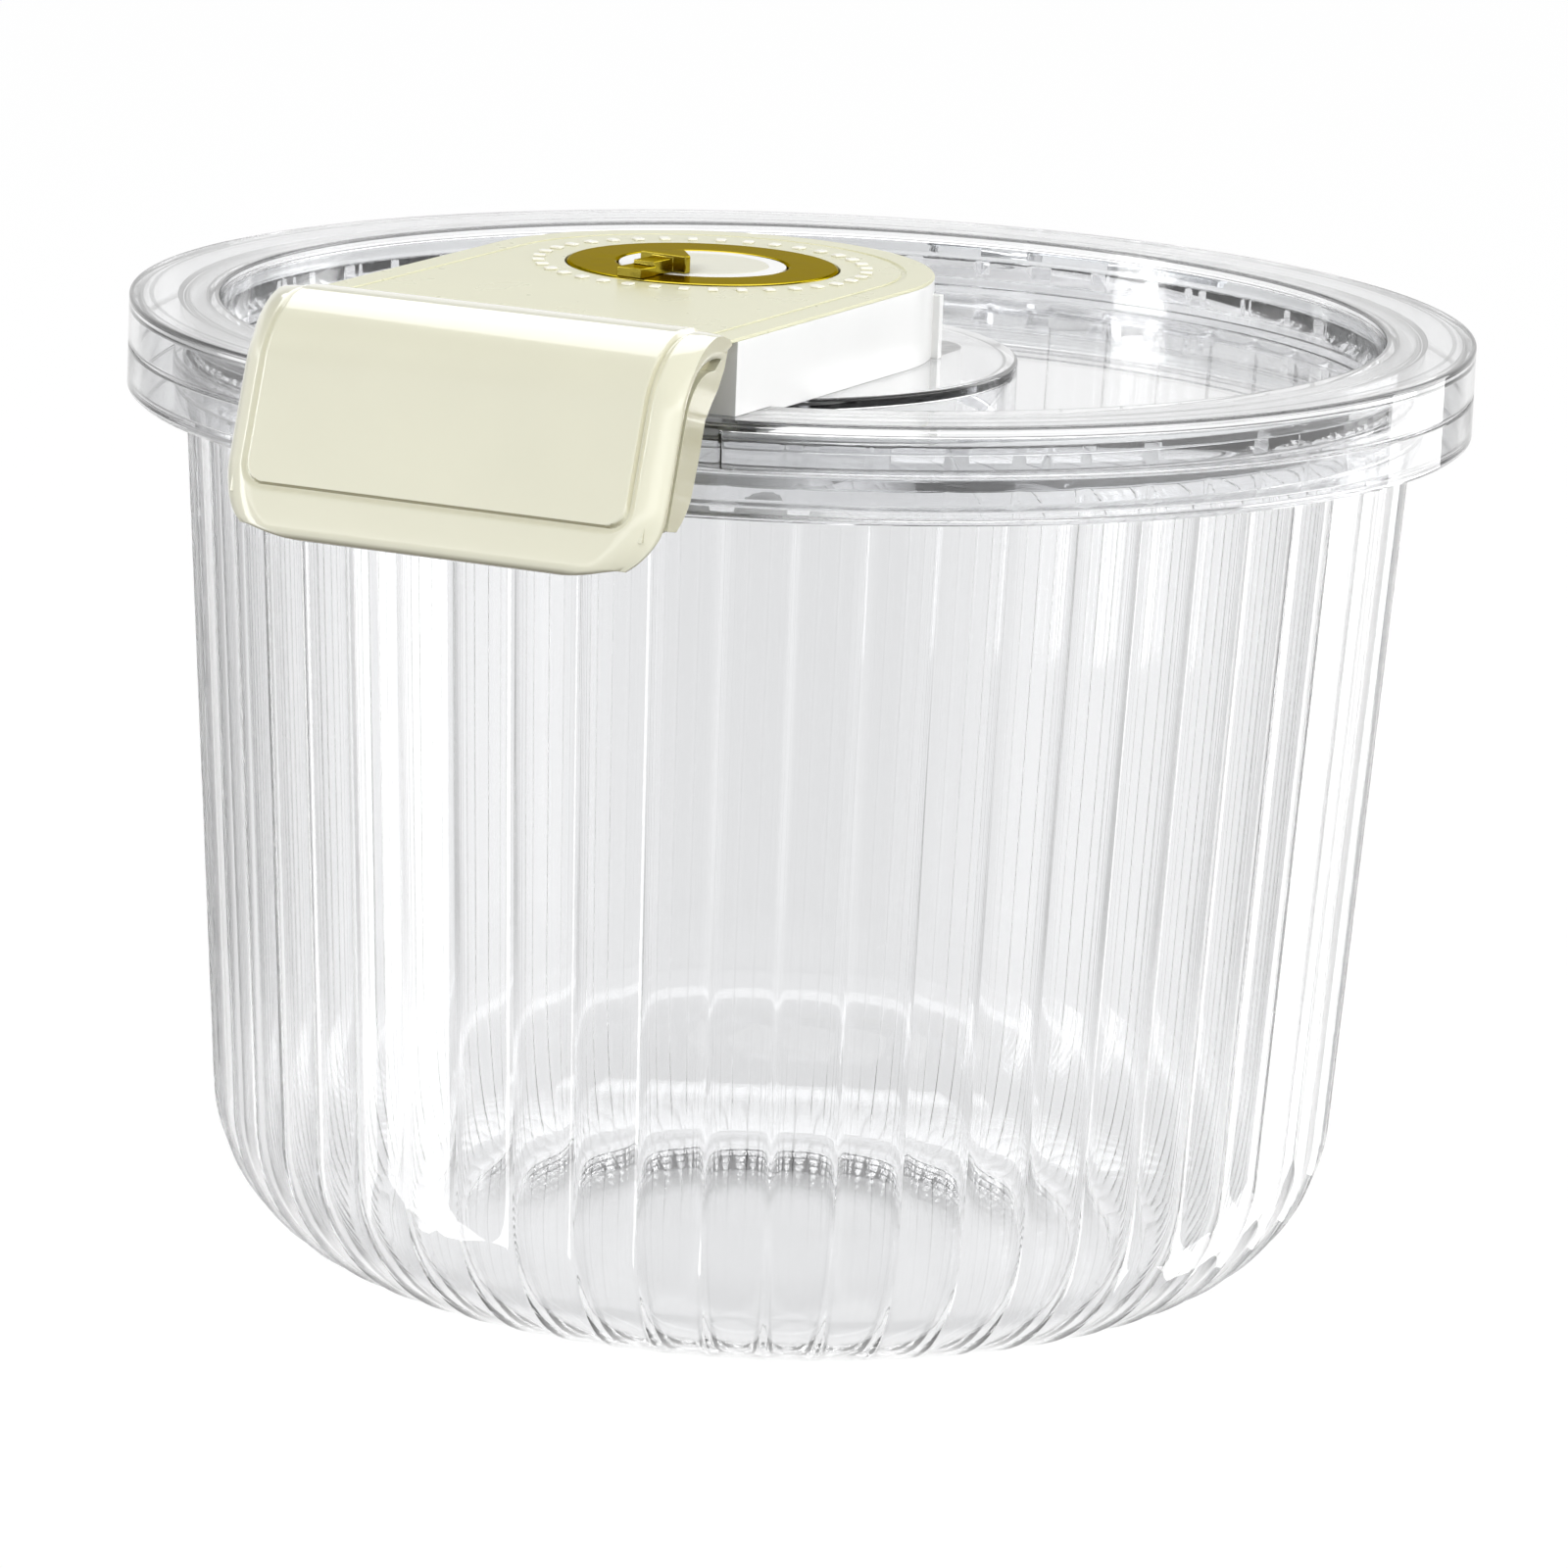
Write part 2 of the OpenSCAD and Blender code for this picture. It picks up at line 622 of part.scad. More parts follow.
module desiccant_sachet() {
    color([0.95, 0.95, 0.97]) translate([0, -dial_y, box_floor - sachet_h]) linear_extrude(sachet_h)
        round_rect(2 * (screw_x - 4), box_l - 2 * box_wall - 2, 4);
}

module cover_pin() {
    color(steel) rod_x(-ear_x - 4, ear_x + 4, cover_y, cover_z, cover_pin_r);
}

module desiccant_cover() {
    slot_l = 14;
    color(white) difference() {
        union() {
            translate([0, -dial_y, cover_z - cover_t / 2]) linear_extrude(cover_t)
                round_rect(box_w, box_l, box_corner);
            rod_x(-ear_x + gap, ear_x - gap, cover_y, cover_z, cover_r);
            block([-ear_x + gap, cover_y - 6, cover_z - cover_t / 2],
                  [ear_x - gap, cover_y, cover_z + cover_t / 2]);
            // finger tab at the front edge
            block([-8, -dial_y - box_l / 2 - 3, cover_z - cover_t / 2],
                  [8, -dial_y - box_l / 2 + 4, cover_z + cover_t / 2]);
        }
        rod_x(-ear_x - 1, ear_x + 1, cover_y, cover_z, cover_pin_r + fit);
        for (x = [-26, -9, 9, 26]) for (i = [-3:3])
            translate([x, -dial_y + 8 * i, cover_z]) cube([slot_l, 2.4, 4], center = true);
    }
}

tub();
collar_ring();
hinge_pin();
lid_panel();
lid_gasket();
dial_housing();
housing_screws();
top_plate();
scale_marks();
dial_hub();
hub_clip();
centre_disc();
dial_ring();
dial_pointer();
latch_pin();
latch_flap();
desiccant_box();
desiccant_sachet();
cover_pin();
desiccant_cover();
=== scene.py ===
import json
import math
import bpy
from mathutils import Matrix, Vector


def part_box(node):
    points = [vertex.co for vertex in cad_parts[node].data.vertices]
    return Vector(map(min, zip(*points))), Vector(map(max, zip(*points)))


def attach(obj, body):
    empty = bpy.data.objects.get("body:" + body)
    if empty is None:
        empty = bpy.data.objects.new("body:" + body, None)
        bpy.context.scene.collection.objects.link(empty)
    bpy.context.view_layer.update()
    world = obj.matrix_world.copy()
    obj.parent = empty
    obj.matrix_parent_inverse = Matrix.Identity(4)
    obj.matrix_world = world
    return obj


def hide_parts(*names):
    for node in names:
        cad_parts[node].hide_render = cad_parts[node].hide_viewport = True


bl_info = {
    "name": "Rice Bin With Flip Lid",
    "version": (1, 0, 0),
    "blender": (4, 5, 0),
    "location": "View3D > Sidebar > Rice Bin",
    "description": "Dresses the frame of a round clear rice bin with finely shaped pieces and materials",
    "category": "Object",
}

import bpy
from mathutils import Matrix, Vector

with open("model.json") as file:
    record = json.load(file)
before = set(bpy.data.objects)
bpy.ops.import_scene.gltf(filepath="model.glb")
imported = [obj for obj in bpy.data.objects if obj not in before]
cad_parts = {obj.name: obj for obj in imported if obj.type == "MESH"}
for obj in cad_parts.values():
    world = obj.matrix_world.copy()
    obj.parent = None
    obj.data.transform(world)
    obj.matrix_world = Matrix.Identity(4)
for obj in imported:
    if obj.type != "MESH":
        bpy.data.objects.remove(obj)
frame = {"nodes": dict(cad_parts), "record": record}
NODES = frame["nodes"]
BODIES = frame["record"]["behaviour"]["bodies"]
BODY_OF = {node: body for body, nodes in BODIES.items() for node in nodes}
MM = 0.001

# Heights and radii that the frame gives, in metres
LID_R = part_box("lid_panel")[1].x
RIM_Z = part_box("lid_panel")[1].z
NOTCH_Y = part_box("lid_panel")[0].y
TUB_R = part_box("tub")[1].x
TUB_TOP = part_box("tub")[1].z
COLLAR_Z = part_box("collar_ring")[0].z
DIAL_Y = (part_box("dial_ring")[0].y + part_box("dial_ring")[1].y) / 2

# What the clear pieces and the hook share: where the lid meets the collar, the ledge of the tub's rim under
# it, the walls, the lid's lighter tint, the play between the pieces, and the catch
PART_Z = RIM_Z - 9 * MM
LEDGE_Z = PART_Z - 2.3 * MM
CLEAR_WALL = 2.2 * MM
LIP_WALL = 1.6 * MM
LID_TINT = 1.025
PLAY = 0.15 * MM
PART_GAP = 0.3 * MM
CATCH_HEIGHT = 3.5 * MM
HOOK_HALF = 14 * MM

# The latch flap: its pin, forward of the bin's middle, and the plate's top over the rim
FLAP_AXIS = -NOTCH_Y + 5.1 * MM
FLAP_RISE = 14 * MM

# The camera's turn from the front, the side it looks from, and how bright the studio is round the bin, from
# behind it (0) to the camera's side (1)
VIEW_TURN = math.radians(25.5)
CAMERA_SIDE = (math.sin(VIEW_TURN), -math.cos(VIEW_TURN), 0)
FLAG_LEVELS = (
    (0.0, 1.0), (0.05, 1.0), (0.1, 0.5), (0.22, 0.5), (0.32, 1.0), (0.84, 1.3), (0.95, 0.55), (1.0, 0.5),
)


# ---------- settings ----------


def length(name, description, default):
    return bpy.props.FloatProperty(
        name=name, description=description, default=default, unit="LENGTH", precision=5, min=0.0
    )


def colour(name, description, default):
    return bpy.props.FloatVectorProperty(
        name=name, description=description, default=default, subtype="COLOR", size=3, min=0.0, max=1.0
    )


class BinTubSettings(bpy.types.PropertyGroup):
    flutes: bpy.props.IntProperty(name="Flutes", description="Number of upright flutes", default=56, min=12)
    flute_depth: length("Flute depth", "Depth of a flute in the middle", 1.0 * MM)
    ridge: length("Ridge", "How far a ridge is rounded off", 0.2 * MM)
    flute_end: length("Flute end", "Radius on the base where the flutes run out", 78 * MM)
    wall: length("Wall", "Thickness from a ridge to the smooth inside", 2.8 * MM)
    corner: length("Corner", "Radius of the rounded bottom corner", 35 * MM)
    taper: length("Taper", "Shrinkage of the radius from the collar to the floor", 11 * MM)


class BinFlapSettings(bpy.types.PropertyGroup):
    half_width: length("Half width", "Half the width of the latch flap", 43.5 * MM)
    roll: length("Roll", "Radius of the rolled top edge", 16 * MM)
    slant: bpy.props.FloatProperty(
        name="Slant", description="Slant of the face from upright", default=math.radians(17), subtype="ANGLE"
    )
    drop: length("Drop", "How far the flap hangs below the rim", 25.5 * MM)
    bow: length("Bow", "How far the side edges fall back", 3.6 * MM)
    panel_rise: length("Panel rise", "How far the middle panel stands out", 0.8 * MM)
    border: length("Border", "Width of the border beside the panel", 5.5 * MM)


class BinColourSettings(bpy.types.PropertyGroup):
    clear: colour("Clear plastic", "Tint of the clear tub and lid", (0.908, 0.911, 0.917))
    cream: colour("Cream", "Latch flap and top plate", (0.80, 0.785, 0.62))
    white: colour("White", "Housing and desiccant box", (0.96, 0.96, 0.945))
    gold: colour("Gold", "Dial ring and pointer", (0.36, 0.29, 0.045))
    beige: colour("Beige", "Disc in the middle of the dial", (0.72, 0.71, 0.58))
    marks: colour("Marks", "Raised marks round the dial", (0.95, 0.93, 0.84))


# ---------- tools for shaping ----------


def deselect():
    """Leaves edit mode with nothing selected."""
    if bpy.context.object and bpy.context.object.mode != "OBJECT":
        bpy.ops.object.mode_set(mode="OBJECT")
    bpy.ops.object.select_all(action="DESELECT")


def pick(obj):
    """Selects one piece alone and makes it active."""
    deselect()
    obj.select_set(True)
    bpy.context.view_layer.objects.active = obj


def modify(obj, kind, **values):
    """Adds a modifier and applies it."""
    pick(obj)
    made = obj.modifiers.new(kind.title(), kind)
    for key, value in values.items():
        setattr(made, key, value)
    bpy.ops.object.modifier_apply(modifier=made.name)


def smooth(obj, degrees=35, weighted=True):
    """Smooth shading up to an angle, with flat faces kept flat."""
    pick(obj)
    bpy.ops.object.shade_smooth_by_angle(angle=math.radians(degrees))
    if weighted:
        modify(obj, "WEIGHTED_NORMAL", keep_sharp=True, weight=100)


def arc(cx, cy, r, start, end, steps):
    """Points of an arc, from one angle to another in degrees."""
    turns = [math.radians(start + (end - start) * i / steps) for i in range(steps + 1)]
    return [(cx + r * math.cos(t), cy + r * math.sin(t)) for t in turns]


def eased(points, radius, steps=3):
    """A closed outline with each corner rounded, as far as its sides allow. Corners on the axis stay."""
    out = []
    for i, here in enumerate(points):
        p, a, b = Vector(here), Vector(points[i - 1]), Vector(points[(i + 1) % len(points)])
        to_a, to_b = a - p, b - p
        bend = to_a.angle(to_b) if to_a.length and to_b.length else math.pi
        if p.x < 1e-6 or bend > math.radians(165):
            out.append(tuple(p))
            continue
        reach = min(radius / math.tan(bend / 2), to_a.length * 0.45, to_b.length * 0.45)
        start, end = p + to_a.normalized() * reach, p + to_b.normalized() * reach
        for k in range(steps + 1):
            t = k / steps
            out.append(tuple(start * (1 - t) ** 2 + p * (2 * t * (1 - t)) + end * t**2))
    return out


def turned(name, outline, steps, centre=(0.0, 0.0), angle=math.tau):
    """A closed outline of radius and height, turned round an upright axis by spin."""
    deselect()
    bpy.ops.mesh.primitive_circle_add(vertices=len(outline), radius=0.1)
    obj = bpy.context.object
    obj.name = obj.data.name = name
    for vertex, (r, z) in zip(obj.data.vertices, outline):
        vertex.co = (centre[0] + r, centre[1], z)
    bpy.ops.object.mode_set(mode="EDIT")
    bpy.ops.mesh.select_all(action="SELECT")
    bpy.ops.mesh.spin(steps=steps, angle=angle, center=(centre[0], centre[1], 0), axis=(0, 0, 1))
    bpy.ops.mesh.select_all(action="SELECT")
    bpy.ops.mesh.remove_doubles(threshold=2e-6)
    bpy.ops.mesh.delete_loose(use_verts=True, use_edges=True, use_faces=False)
    bpy.ops.mesh.select_all(action="SELECT")
    bpy.ops.mesh.normals_make_consistent(inside=False)
    deselect()
    return obj


def extruded(name, outline, start, end, axis="X"):
    """A closed outline pushed along an axis. For X it is in Y and Z, and for Z in X and Y."""
    deselect()
    bpy.ops.mesh.primitive_circle_add(vertices=len(outline), radius=0.1, fill_type="NGON")
    obj = bpy.context.object
    obj.name = obj.data.name = name
    for vertex, (a, b) in zip(obj.data.vertices, outline):
        vertex.co = (start, a, b) if axis == "X" else (a, b, start)
    push = (end - start, 0, 0) if axis == "X" else (0, 0, end - start)
    bpy.ops.object.mode_set(mode="EDIT")
    bpy.ops.mesh.select_all(action="SELECT")
    bpy.ops.mesh.extrude_region_move(TRANSFORM_OT_translate={"value": push})
    bpy.ops.mesh.select_all(action="SELECT")
    bpy.ops.mesh.normals_make_consistent(inside=False)
    deselect()
    return obj


def joined(name, pieces):
    """Joins pieces into one, under a new name."""
    deselect()
    for piece in pieces:
        piece.select_set(True)
    bpy.context.view_layer.objects.active = pieces[0]
    bpy.ops.object.join()
    pieces[0].name = pieces[0].data.name = name
    return pieces[0]


def cut(obj, other, operation):
    """Joins or cuts with another closed piece, which is used up."""
    modify(obj, "BOOLEAN", object=other, operation=operation, solver="EXACT")
    bpy.data.objects.remove(other)


def rounded(obj, width, degrees=30, segments=2):
    """Rounds the edges that are sharper than an angle."""
    limit = math.radians(degrees)
    modify(obj, "BEVEL", width=width, segments=segments, limit_method="ANGLE", angle_limit=limit)


def copy_of(node, name, edge, segments=2):
    """A copy of a frame node with its flat faces joined and its edges rounded."""
    obj = bpy.data.objects.new(name, NODES[node].data.copy())
    obj.data.name = name
    bpy.context.scene.collection.objects.link(obj)
    pick(obj)
    bpy.ops.object.mode_set(mode="EDIT")
    bpy.ops.mesh.select_all(action="SELECT")
    bpy.ops.mesh.remove_doubles(threshold=1e-6)
    bpy.ops.mesh.dissolve_limited(angle_limit=math.radians(0.6), delimit={"NORMAL"})
    bpy.ops.mesh.select_all(action="DESELECT")
    deselect()
    rounded(obj, edge, segments=segments)
    smooth(obj, 40)
    return obj


def place(obj, node, material):
    """Sets a finished piece on the body of the node that it stands for."""
    obj.data.materials.clear()
    obj.data.materials.append(material)
    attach(obj, BODY_OF[node])
    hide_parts(node)


# ---------- tools for materials ----------


def coordinates(tree, kind="Object"):
    """Coordinates on the object, or of another kind."""
    return tree.nodes.new("ShaderNodeTexCoord").outputs[kind]


def material(name):
    """A new material with its main shader and object coordinates."""
    made = bpy.data.materials.new(name)
    made.use_nodes = True
    tree = made.node_tree
    return made, tree, tree.nodes["Principled BSDF"], coordinates(tree)


def feed(tree, socket, value):
    """Links a socket to an output, or sets it to a plain value."""
    if isinstance(value, bpy.types.NodeSocket):
        tree.links.new(value, socket)
    else:
        socket.default_value = value


def maths(tree, operation, *values):
    """A math node with its inputs fed."""
    made = tree.nodes.new("ShaderNodeMath")
    made.operation = operation
    for socket, value in zip(made.inputs, values):
        feed(tree, socket, value)
    return made.outputs["Value"]


def vectors(tree, operation, *values):
    """A vector math node with its inputs fed. A dot product or a length gives a number."""
    made = tree.nodes.new("ShaderNodeVectorMath")
    made.operation = operation
    for socket, value in zip(made.inputs, values):
        feed(tree, socket, value)
    return made.outputs["Value" if operation in ("DOT_PRODUCT", "LENGTH") else "Vector"]


def scaled(tree, vector, factor):
    """A vector times a number."""
    made = tree.nodes.new("ShaderNodeVectorMath")
    made.operation = "SCALE"
    feed(tree, made.inputs["Vector"], vector)
    feed(tree, made.inputs["Scale"], factor)
    return made.outputs["Vector"]


def axes(tree, vector):
    """The X, Y and Z of a vector."""
    made = tree.nodes.new("ShaderNodeSeparateXYZ")
    tree.links.new(vector, made.inputs["Vector"])
    return made.outputs


def ranged(tree, value, start, end, low=0.0, high=1.0, soft=False):
    """Maps one range of a value to another, and holds it past the ends."""
    made = tree.nodes.new("ShaderNodeMapRange")
    made.interpolation_type = "SMOOTHSTEP" if soft else "LINEAR"
    for name, number in (("From Min", start), ("From Max", end), ("To Min", low), ("To Max", high)):
        made.inputs[name].default_value = number
    tree.links.new(value, made.inputs["Value"])
    return made.outputs["Result"]


def spread(tree, value, low, high):
    """Maps the middle of a noise to a range."""
    return ranged(tree, value, 0.3, 0.7, low, high)


def blend(tree, share, first, second, kind="MIX"):
    """Mixes or multiplies two colours. The numbers are the colour sockets' places on a Mix node."""
    made = tree.nodes.new("ShaderNodeMix")
    made.data_type = "RGBA"
    made.blend_type = kind
    for place_of, value in ((0, share), (6, first), (7, second)):
        feed(tree, made.inputs[place_of], (*value, 1) if isinstance(value, tuple) else value)
    return made.outputs[2]


def noise(tree, where, scale, detail=3.0, stretch=(1, 1, 1)):
    """Fine unevenness. The scale is in patterns per metre."""
    mapping = tree.nodes.new("ShaderNodeMapping")
    mapping.inputs["Scale"].default_value = stretch
    tree.links.new(where, mapping.inputs["Vector"])
    made = tree.nodes.new("ShaderNodeTexNoise")
    made.inputs["Scale"].default_value = scale
    made.inputs["Detail"].default_value = detail
    tree.links.new(mapping.outputs["Vector"], made.inputs["Vector"])
    return made.outputs["Fac"]


def shades(tree, value, stops):
    """Colours along a value, as (place, colour). A single number stands for a grey."""
    made = tree.nodes.new("ShaderNodeValToRGB")
    ramp = made.color_ramp
    while len(ramp.elements) < len(stops):
        ramp.elements.new(0.5)
    for element, (spot, tint) in zip(ramp.elements, stops):
        element.position = spot
        element.color = (*tint, 1) if isinstance(tint, tuple) else (tint, tint, tint, 1)
    tree.links.new(value, made.inputs["Fac"])
    return made.outputs["Color"]


def relief(tree, shader, height, distance):
    """Fine relief on the shader's normal."""
    made = tree.nodes.new("ShaderNodeBump")
    made.inputs["Distance"].default_value = distance
    tree.links.new(height, made.inputs["Height"])
    tree.links.new(made.outputs["Normal"], shader.inputs["Normal"])


def tinted(base, factor):
    """A colour made darker or lighter."""
    return tuple(min(1.0, c * factor) for c in base)


def cloudy(tree, shader, where, base, scale, dark, light):
    """A base colour that is a little uneven."""
    stops = [(0.3, tinted(base, dark)), (0.7, tinted(base, light))]
    tree.links.new(shades(tree, noise(tree, where, scale, 2), stops), shader.inputs["Base Color"])


def moulded(name, base, rough, grain=0.004 * MM, coat=0.0):
    """Injection-moulded plastic: hardly uneven in colour, a soft gloss with a fine orange peel."""
    made, tree, shader, where = material(name)
    cloudy(tree, shader, where, base, 45, 0.985, 1.01)
    tree.links.new(spread(tree, noise(tree, where, 90), *rough), shader.inputs["Roughness"])
    relief(tree, shader, noise(tree, where, 260, 2), grain)
    shader.inputs["IOR"].default_value = 1.52
    shader.inputs["Coat Weight"].default_value = coat
    shader.inputs["Coat Roughness"].default_value = 0.05
    return made


def shaded_sides(made):
    """Deepens a moulded colour where the surface faces sideways or down, as in the shade of the real flap."""
    tree = made.node_tree
    colour_in = tree.nodes["Principled BSDF"].inputs["Base Color"]
    facing = axes(tree, coordinates(tree, "Normal"))
    sideways = ranged(tree, maths(tree, "ABSOLUTE", facing["X"]), 0.8, 0.98)
    downward = ranged(tree, facing["Z"], -0.25, -0.7)
    tone = blend(tree, sideways, colour_in.links[0].from_socket, (0.72, 0.6984, 0.612), "MULTIPLY")
    tone = blend(tree, downward, tone, (0.42, 0.3906, 0.294), "MULTIPLY")
    tree.links.new(tone, colour_in)


def painted_edge_lines(made, painted_lines, above, fade=0.25 * MM):
    """Painted shade: thin dark lines painted round a clear ring, in place of the dark reflections caught in
    its edges: (radius, half width, shade).
    """
    tree = made.node_tree
    colour_in = tree.nodes["Principled BSDF"].inputs["Base Color"]
    where = coordinates(tree)
    away = vectors(tree, "LENGTH", vectors(tree, "MULTIPLY", where, (1, 1, 0)))
    high = maths(tree, "GREATER_THAN", axes(tree, where)["Z"], above)
    tone = colour_in.links[0].from_socket
    for radius, half, shade in painted_lines:
        near = maths(tree, "ABSOLUTE", maths(tree, "SUBTRACT", away, radius))
        share = maths(tree, "MULTIPLY", ranged(tree, near, half + fade, half, soft=True), high)
        tone = blend(tree, share, tone, (shade,) * 3, "MULTIPLY")
    tree.links.new(tone, colour_in)


def shown(tree, share, first, second):
    """Shows a mix of two shaders."""
    mix = tree.nodes.new("ShaderNodeMixShader")
    for socket, value in zip(mix.inputs, (share, first, second)):
        tree.links.new(value, socket)
    tree.links.new(mix.outputs["Shader"], tree.nodes["Material Output"].inputs["Surface"])


def see_through(name, base, ior=1.55, edge=0.18):
    """Clear plastic. Where it is seen edge-on its colour is darker, partly for its long paths there and
    partly as painted shade in place of dark edge reflections, and lamps shine through it.
    """
    made, tree, shader, where = material(name)
    facing = tree.nodes.new("ShaderNodeLayerWeight")
    facing.inputs["Blend"].default_value = 0.5
    # painted shade in part: the tint darkens towards surfaces seen edge-on, drawing dark edge lines
    stops = ((0.0, 1), (0.7, 0.99), (0.81, 0.95), (0.88, 0.62), (0.95, edge))
    tints = shades(tree, facing.outputs["Facing"], [(spot, tinted(base, factor)) for spot, factor in stops])
    tree.links.new(tints, shader.inputs["Base Color"])
    tree.links.new(spread(tree, noise(tree, where, 160), 0.0, 0.008), shader.inputs["Roughness"])
    relief(tree, shader, noise(tree, where, 38, 2, (1, 1, 0.4)), 0.004 * MM)
    shader.inputs["Transmission Weight"].default_value = 1.0
    shader.inputs["IOR"].default_value = ior
    passing = tree.nodes.new("ShaderNodeBsdfTransparent")
    passing.inputs["Color"].default_value = (*tinted(base, 0.98), 1)
    path = tree.nodes.new("ShaderNodeLightPath")
    shown(tree, path.outputs["Is Shadow Ray"], shader.outputs["BSDF"], passing.outputs["BSDF"])
    return made


def gloss_over(made, base, corner, lean):
    """A polished skin over the flutes whose reflections run on from flute to flute."""
    tree = made.node_tree
    shader = tree.nodes["Principled BSDF"]
    where = coordinates(tree)
    flat = vectors(tree, "MULTIPLY", where, (1, 1, 0))
    beyond = maths(tree, "SUBTRACT", vectors(tree, "LENGTH", flat), base)
    beyond = maths(tree, "MAXIMUM", beyond, 0.0)
    over = maths(tree, "SUBTRACT", axes(tree, where)["Z"], corner)
    fall = maths(tree, "MINIMUM", over, maths(tree, "MULTIPLY", beyond, -lean))
    level = scaled(tree, vectors(tree, "NORMALIZE", flat), beyond)
    drop = tree.nodes.new("ShaderNodeCombineXYZ")
    tree.links.new(fall, drop.inputs["Z"])
    normal = vectors(tree, "NORMALIZE", vectors(tree, "ADD", level, drop.outputs["Vector"]))
    face = tree.nodes.new("ShaderNodeNewGeometry").outputs["Normal"]
    sign = maths(tree, "SIGN", vectors(tree, "DOT_PRODUCT", normal, face))
    tree.links.new(scaled(tree, normal, sign), shader.inputs["Coat Normal"])
    shader.inputs["Coat Weight"].default_value = 1.0
    shader.inputs["Coat Roughness"].default_value = 0.02
    shader.inputs["Coat IOR"].default_value = 1.5


def metal(name, base, rough, stretch=(1, 1, 1), scale=300, grain=0.004 * MM):
    """Polished or brushed metal, with fine unevenness along the way it was worked."""
    made, tree, shader, where = material(name)
    cloudy(tree, shader, where, base, 60, 0.94, 1.03)
    lines = noise(tree, where, scale, 4, stretch)
    tree.links.new(spread(tree, lines, *rough), shader.inputs["Roughness"])
    relief(tree, shader, lines, grain)
    shader.inputs["Metallic"].default_value = 1.0
    shader.inputs["Specular Tint"].default_value = (*tinted(base, 1.25), 1)
    return made


# ---------- tub ----------


class BIN_OT_tub(bpy.types.Operator):
    """Spins the clear tub and presses its flutes into the outside"""

    bl_idname = "bin.tub"
    bl_label = "Fluted Tub"

    def execute(self, context):
        sizes, clear = context.scene.bin_tub, tuple(context.scene.bin_colours.clear)
        slope = math.atan(sizes.taper / COLLAR_Z)
        base = TUB_R - sizes.taper + sizes.corner * (math.tan(slope) - 1 / math.cos(slope))
        sector = math.tau / sizes.flutes
        tub = turned("fluted_tub", self.outline(sizes, base, slope), 16, angle=sector)
        self.press(tub, sizes, base, slope, sector)
        self.crowd(tub, sector)
        self.repeat(tub, sizes.flutes)
        smooth(tub, 45, weighted=False)
        plastic = see_through("clear tub plastic", clear)
        gloss_over(plastic, base, sizes.corner, math.sin(slope))
        place(tub, "tub", plastic)
        # only the fluted outside has the polished skin
        tub.data.materials.append(see_through("clear inside plastic", clear))
        for face in tub.data.polygons:
            out = Vector((face.center.x, face.center.y, 0))
            if out.length < base or face.normal.dot(out) < 0 or face.center.z > COLLAR_Z:
                face.material_index = 1
        return {"FINISHED"}

    def outline(self, sizes, base, slope):
        """The tub's section: up the outside, over the rim, down the inside and under the foot."""
        turn, soft = math.degrees(slope), 0.3 * MM
        inner_r = TUB_R - sizes.wall
        lip = inner_r + LIP_WALL
        low = arc(base, sizes.corner, sizes.corner, -90, -turn, 44)
        # the last rows lie close together under the collar, where the flutes end
        heights = [0.05, 0.075, 0.1, 0.13] + [COLLAR_Z - gap * MM for gap in (2.4, 2, 1.2)]
        rise = [(TUB_R - sizes.taper * (1 - z / COLLAR_Z), z) for z in heights]
        rim = [(TUB_R, COLLAR_Z), (TUB_R, LEDGE_Z), (lip, LEDGE_Z), (lip, TUB_TOP - soft)]
        rim += [(lip - soft, TUB_TOP), (inner_r + soft, TUB_TOP), (inner_r, TUB_TOP - soft)]
        inside = [(r - sizes.wall / math.cos(slope), z) for r, z in reversed(rise)]
        bowl = arc(base, sizes.corner, sizes.corner - sizes.wall, -turn, -90, 28)
        # the foot: a round ring about a shallow recess, as (outwards, up) in millimetres
        foot, middle = base - 1.6 * MM, 0.03
        edge = [(-1.4, 0.2), (-0.9, 0.165), (-0.5, 0.08), (-0.2, 0.018), (0.2, 0.0)]
        recess = edge[0][1] * MM
        floor = [(middle, sizes.wall), (0.0, sizes.wall), (0.0, recess), (middle, recess)]
        floor += [(foot + out * MM, up * MM) for out, up in edge]
        return low + rise + rim + inside + bowl + floor

    def press(self, tub, sizes, base, slope, sector):
        """Presses the flute, which keeps its groove's curve and so narrows to a round end on the base."""
        fading = 14 * MM
        for vertex in tub.data.vertices:
            x, y, z = vertex.co
            r = math.hypot(x, y)
            if r < base or z > COLLAR_Z - 1 * MM:
                continue
            if z < sizes.corner:
                out = Vector((r - base, z - sizes.corner))
                if out.length < sizes.corner - sizes.wall / 2:
                    continue
                out.normalize()
            elif r < TUB_R - sizes.taper * (1 - z / COLLAR_Z) - sizes.wall / 2:
                continue
            else:
                out = Vector((math.cos(slope), -math.sin(slope)))
            share = abs(math.atan2(y, x)) / sector
            groove = math.hypot(4 * sizes.flute_depth * share * (1 - share), sizes.ridge) - sizes.ridge
            run_out = 1.0
            if z < sizes.corner * 0.5:
                run_out = min(1.0, max(0.0, (r - sizes.flute_end) / fading))
            depth = max(0.0, groove - sizes.flute_depth * (1 - run_out) ** 1.5)
            reach = r - depth * out.x
            vertex.co = (reach * x / r, reach * y / r, z - depth * out.y)

    def crowd(self, tub, sector):
        """Moves the sector's upright rows towards the ridges, so that a ridge gets a small round."""
        pull = 0.75
        for vertex in tub.data.vertices:
            x, y, z = vertex.co
            r, share = math.hypot(x, y), math.atan2(y, x) / sector
            if r > 1 * MM:
                turn = (share - pull / math.tau * math.sin(math.tau * share)) * sector
                vertex.co = (r * math.cos(turn), r * math.sin(turn), z)

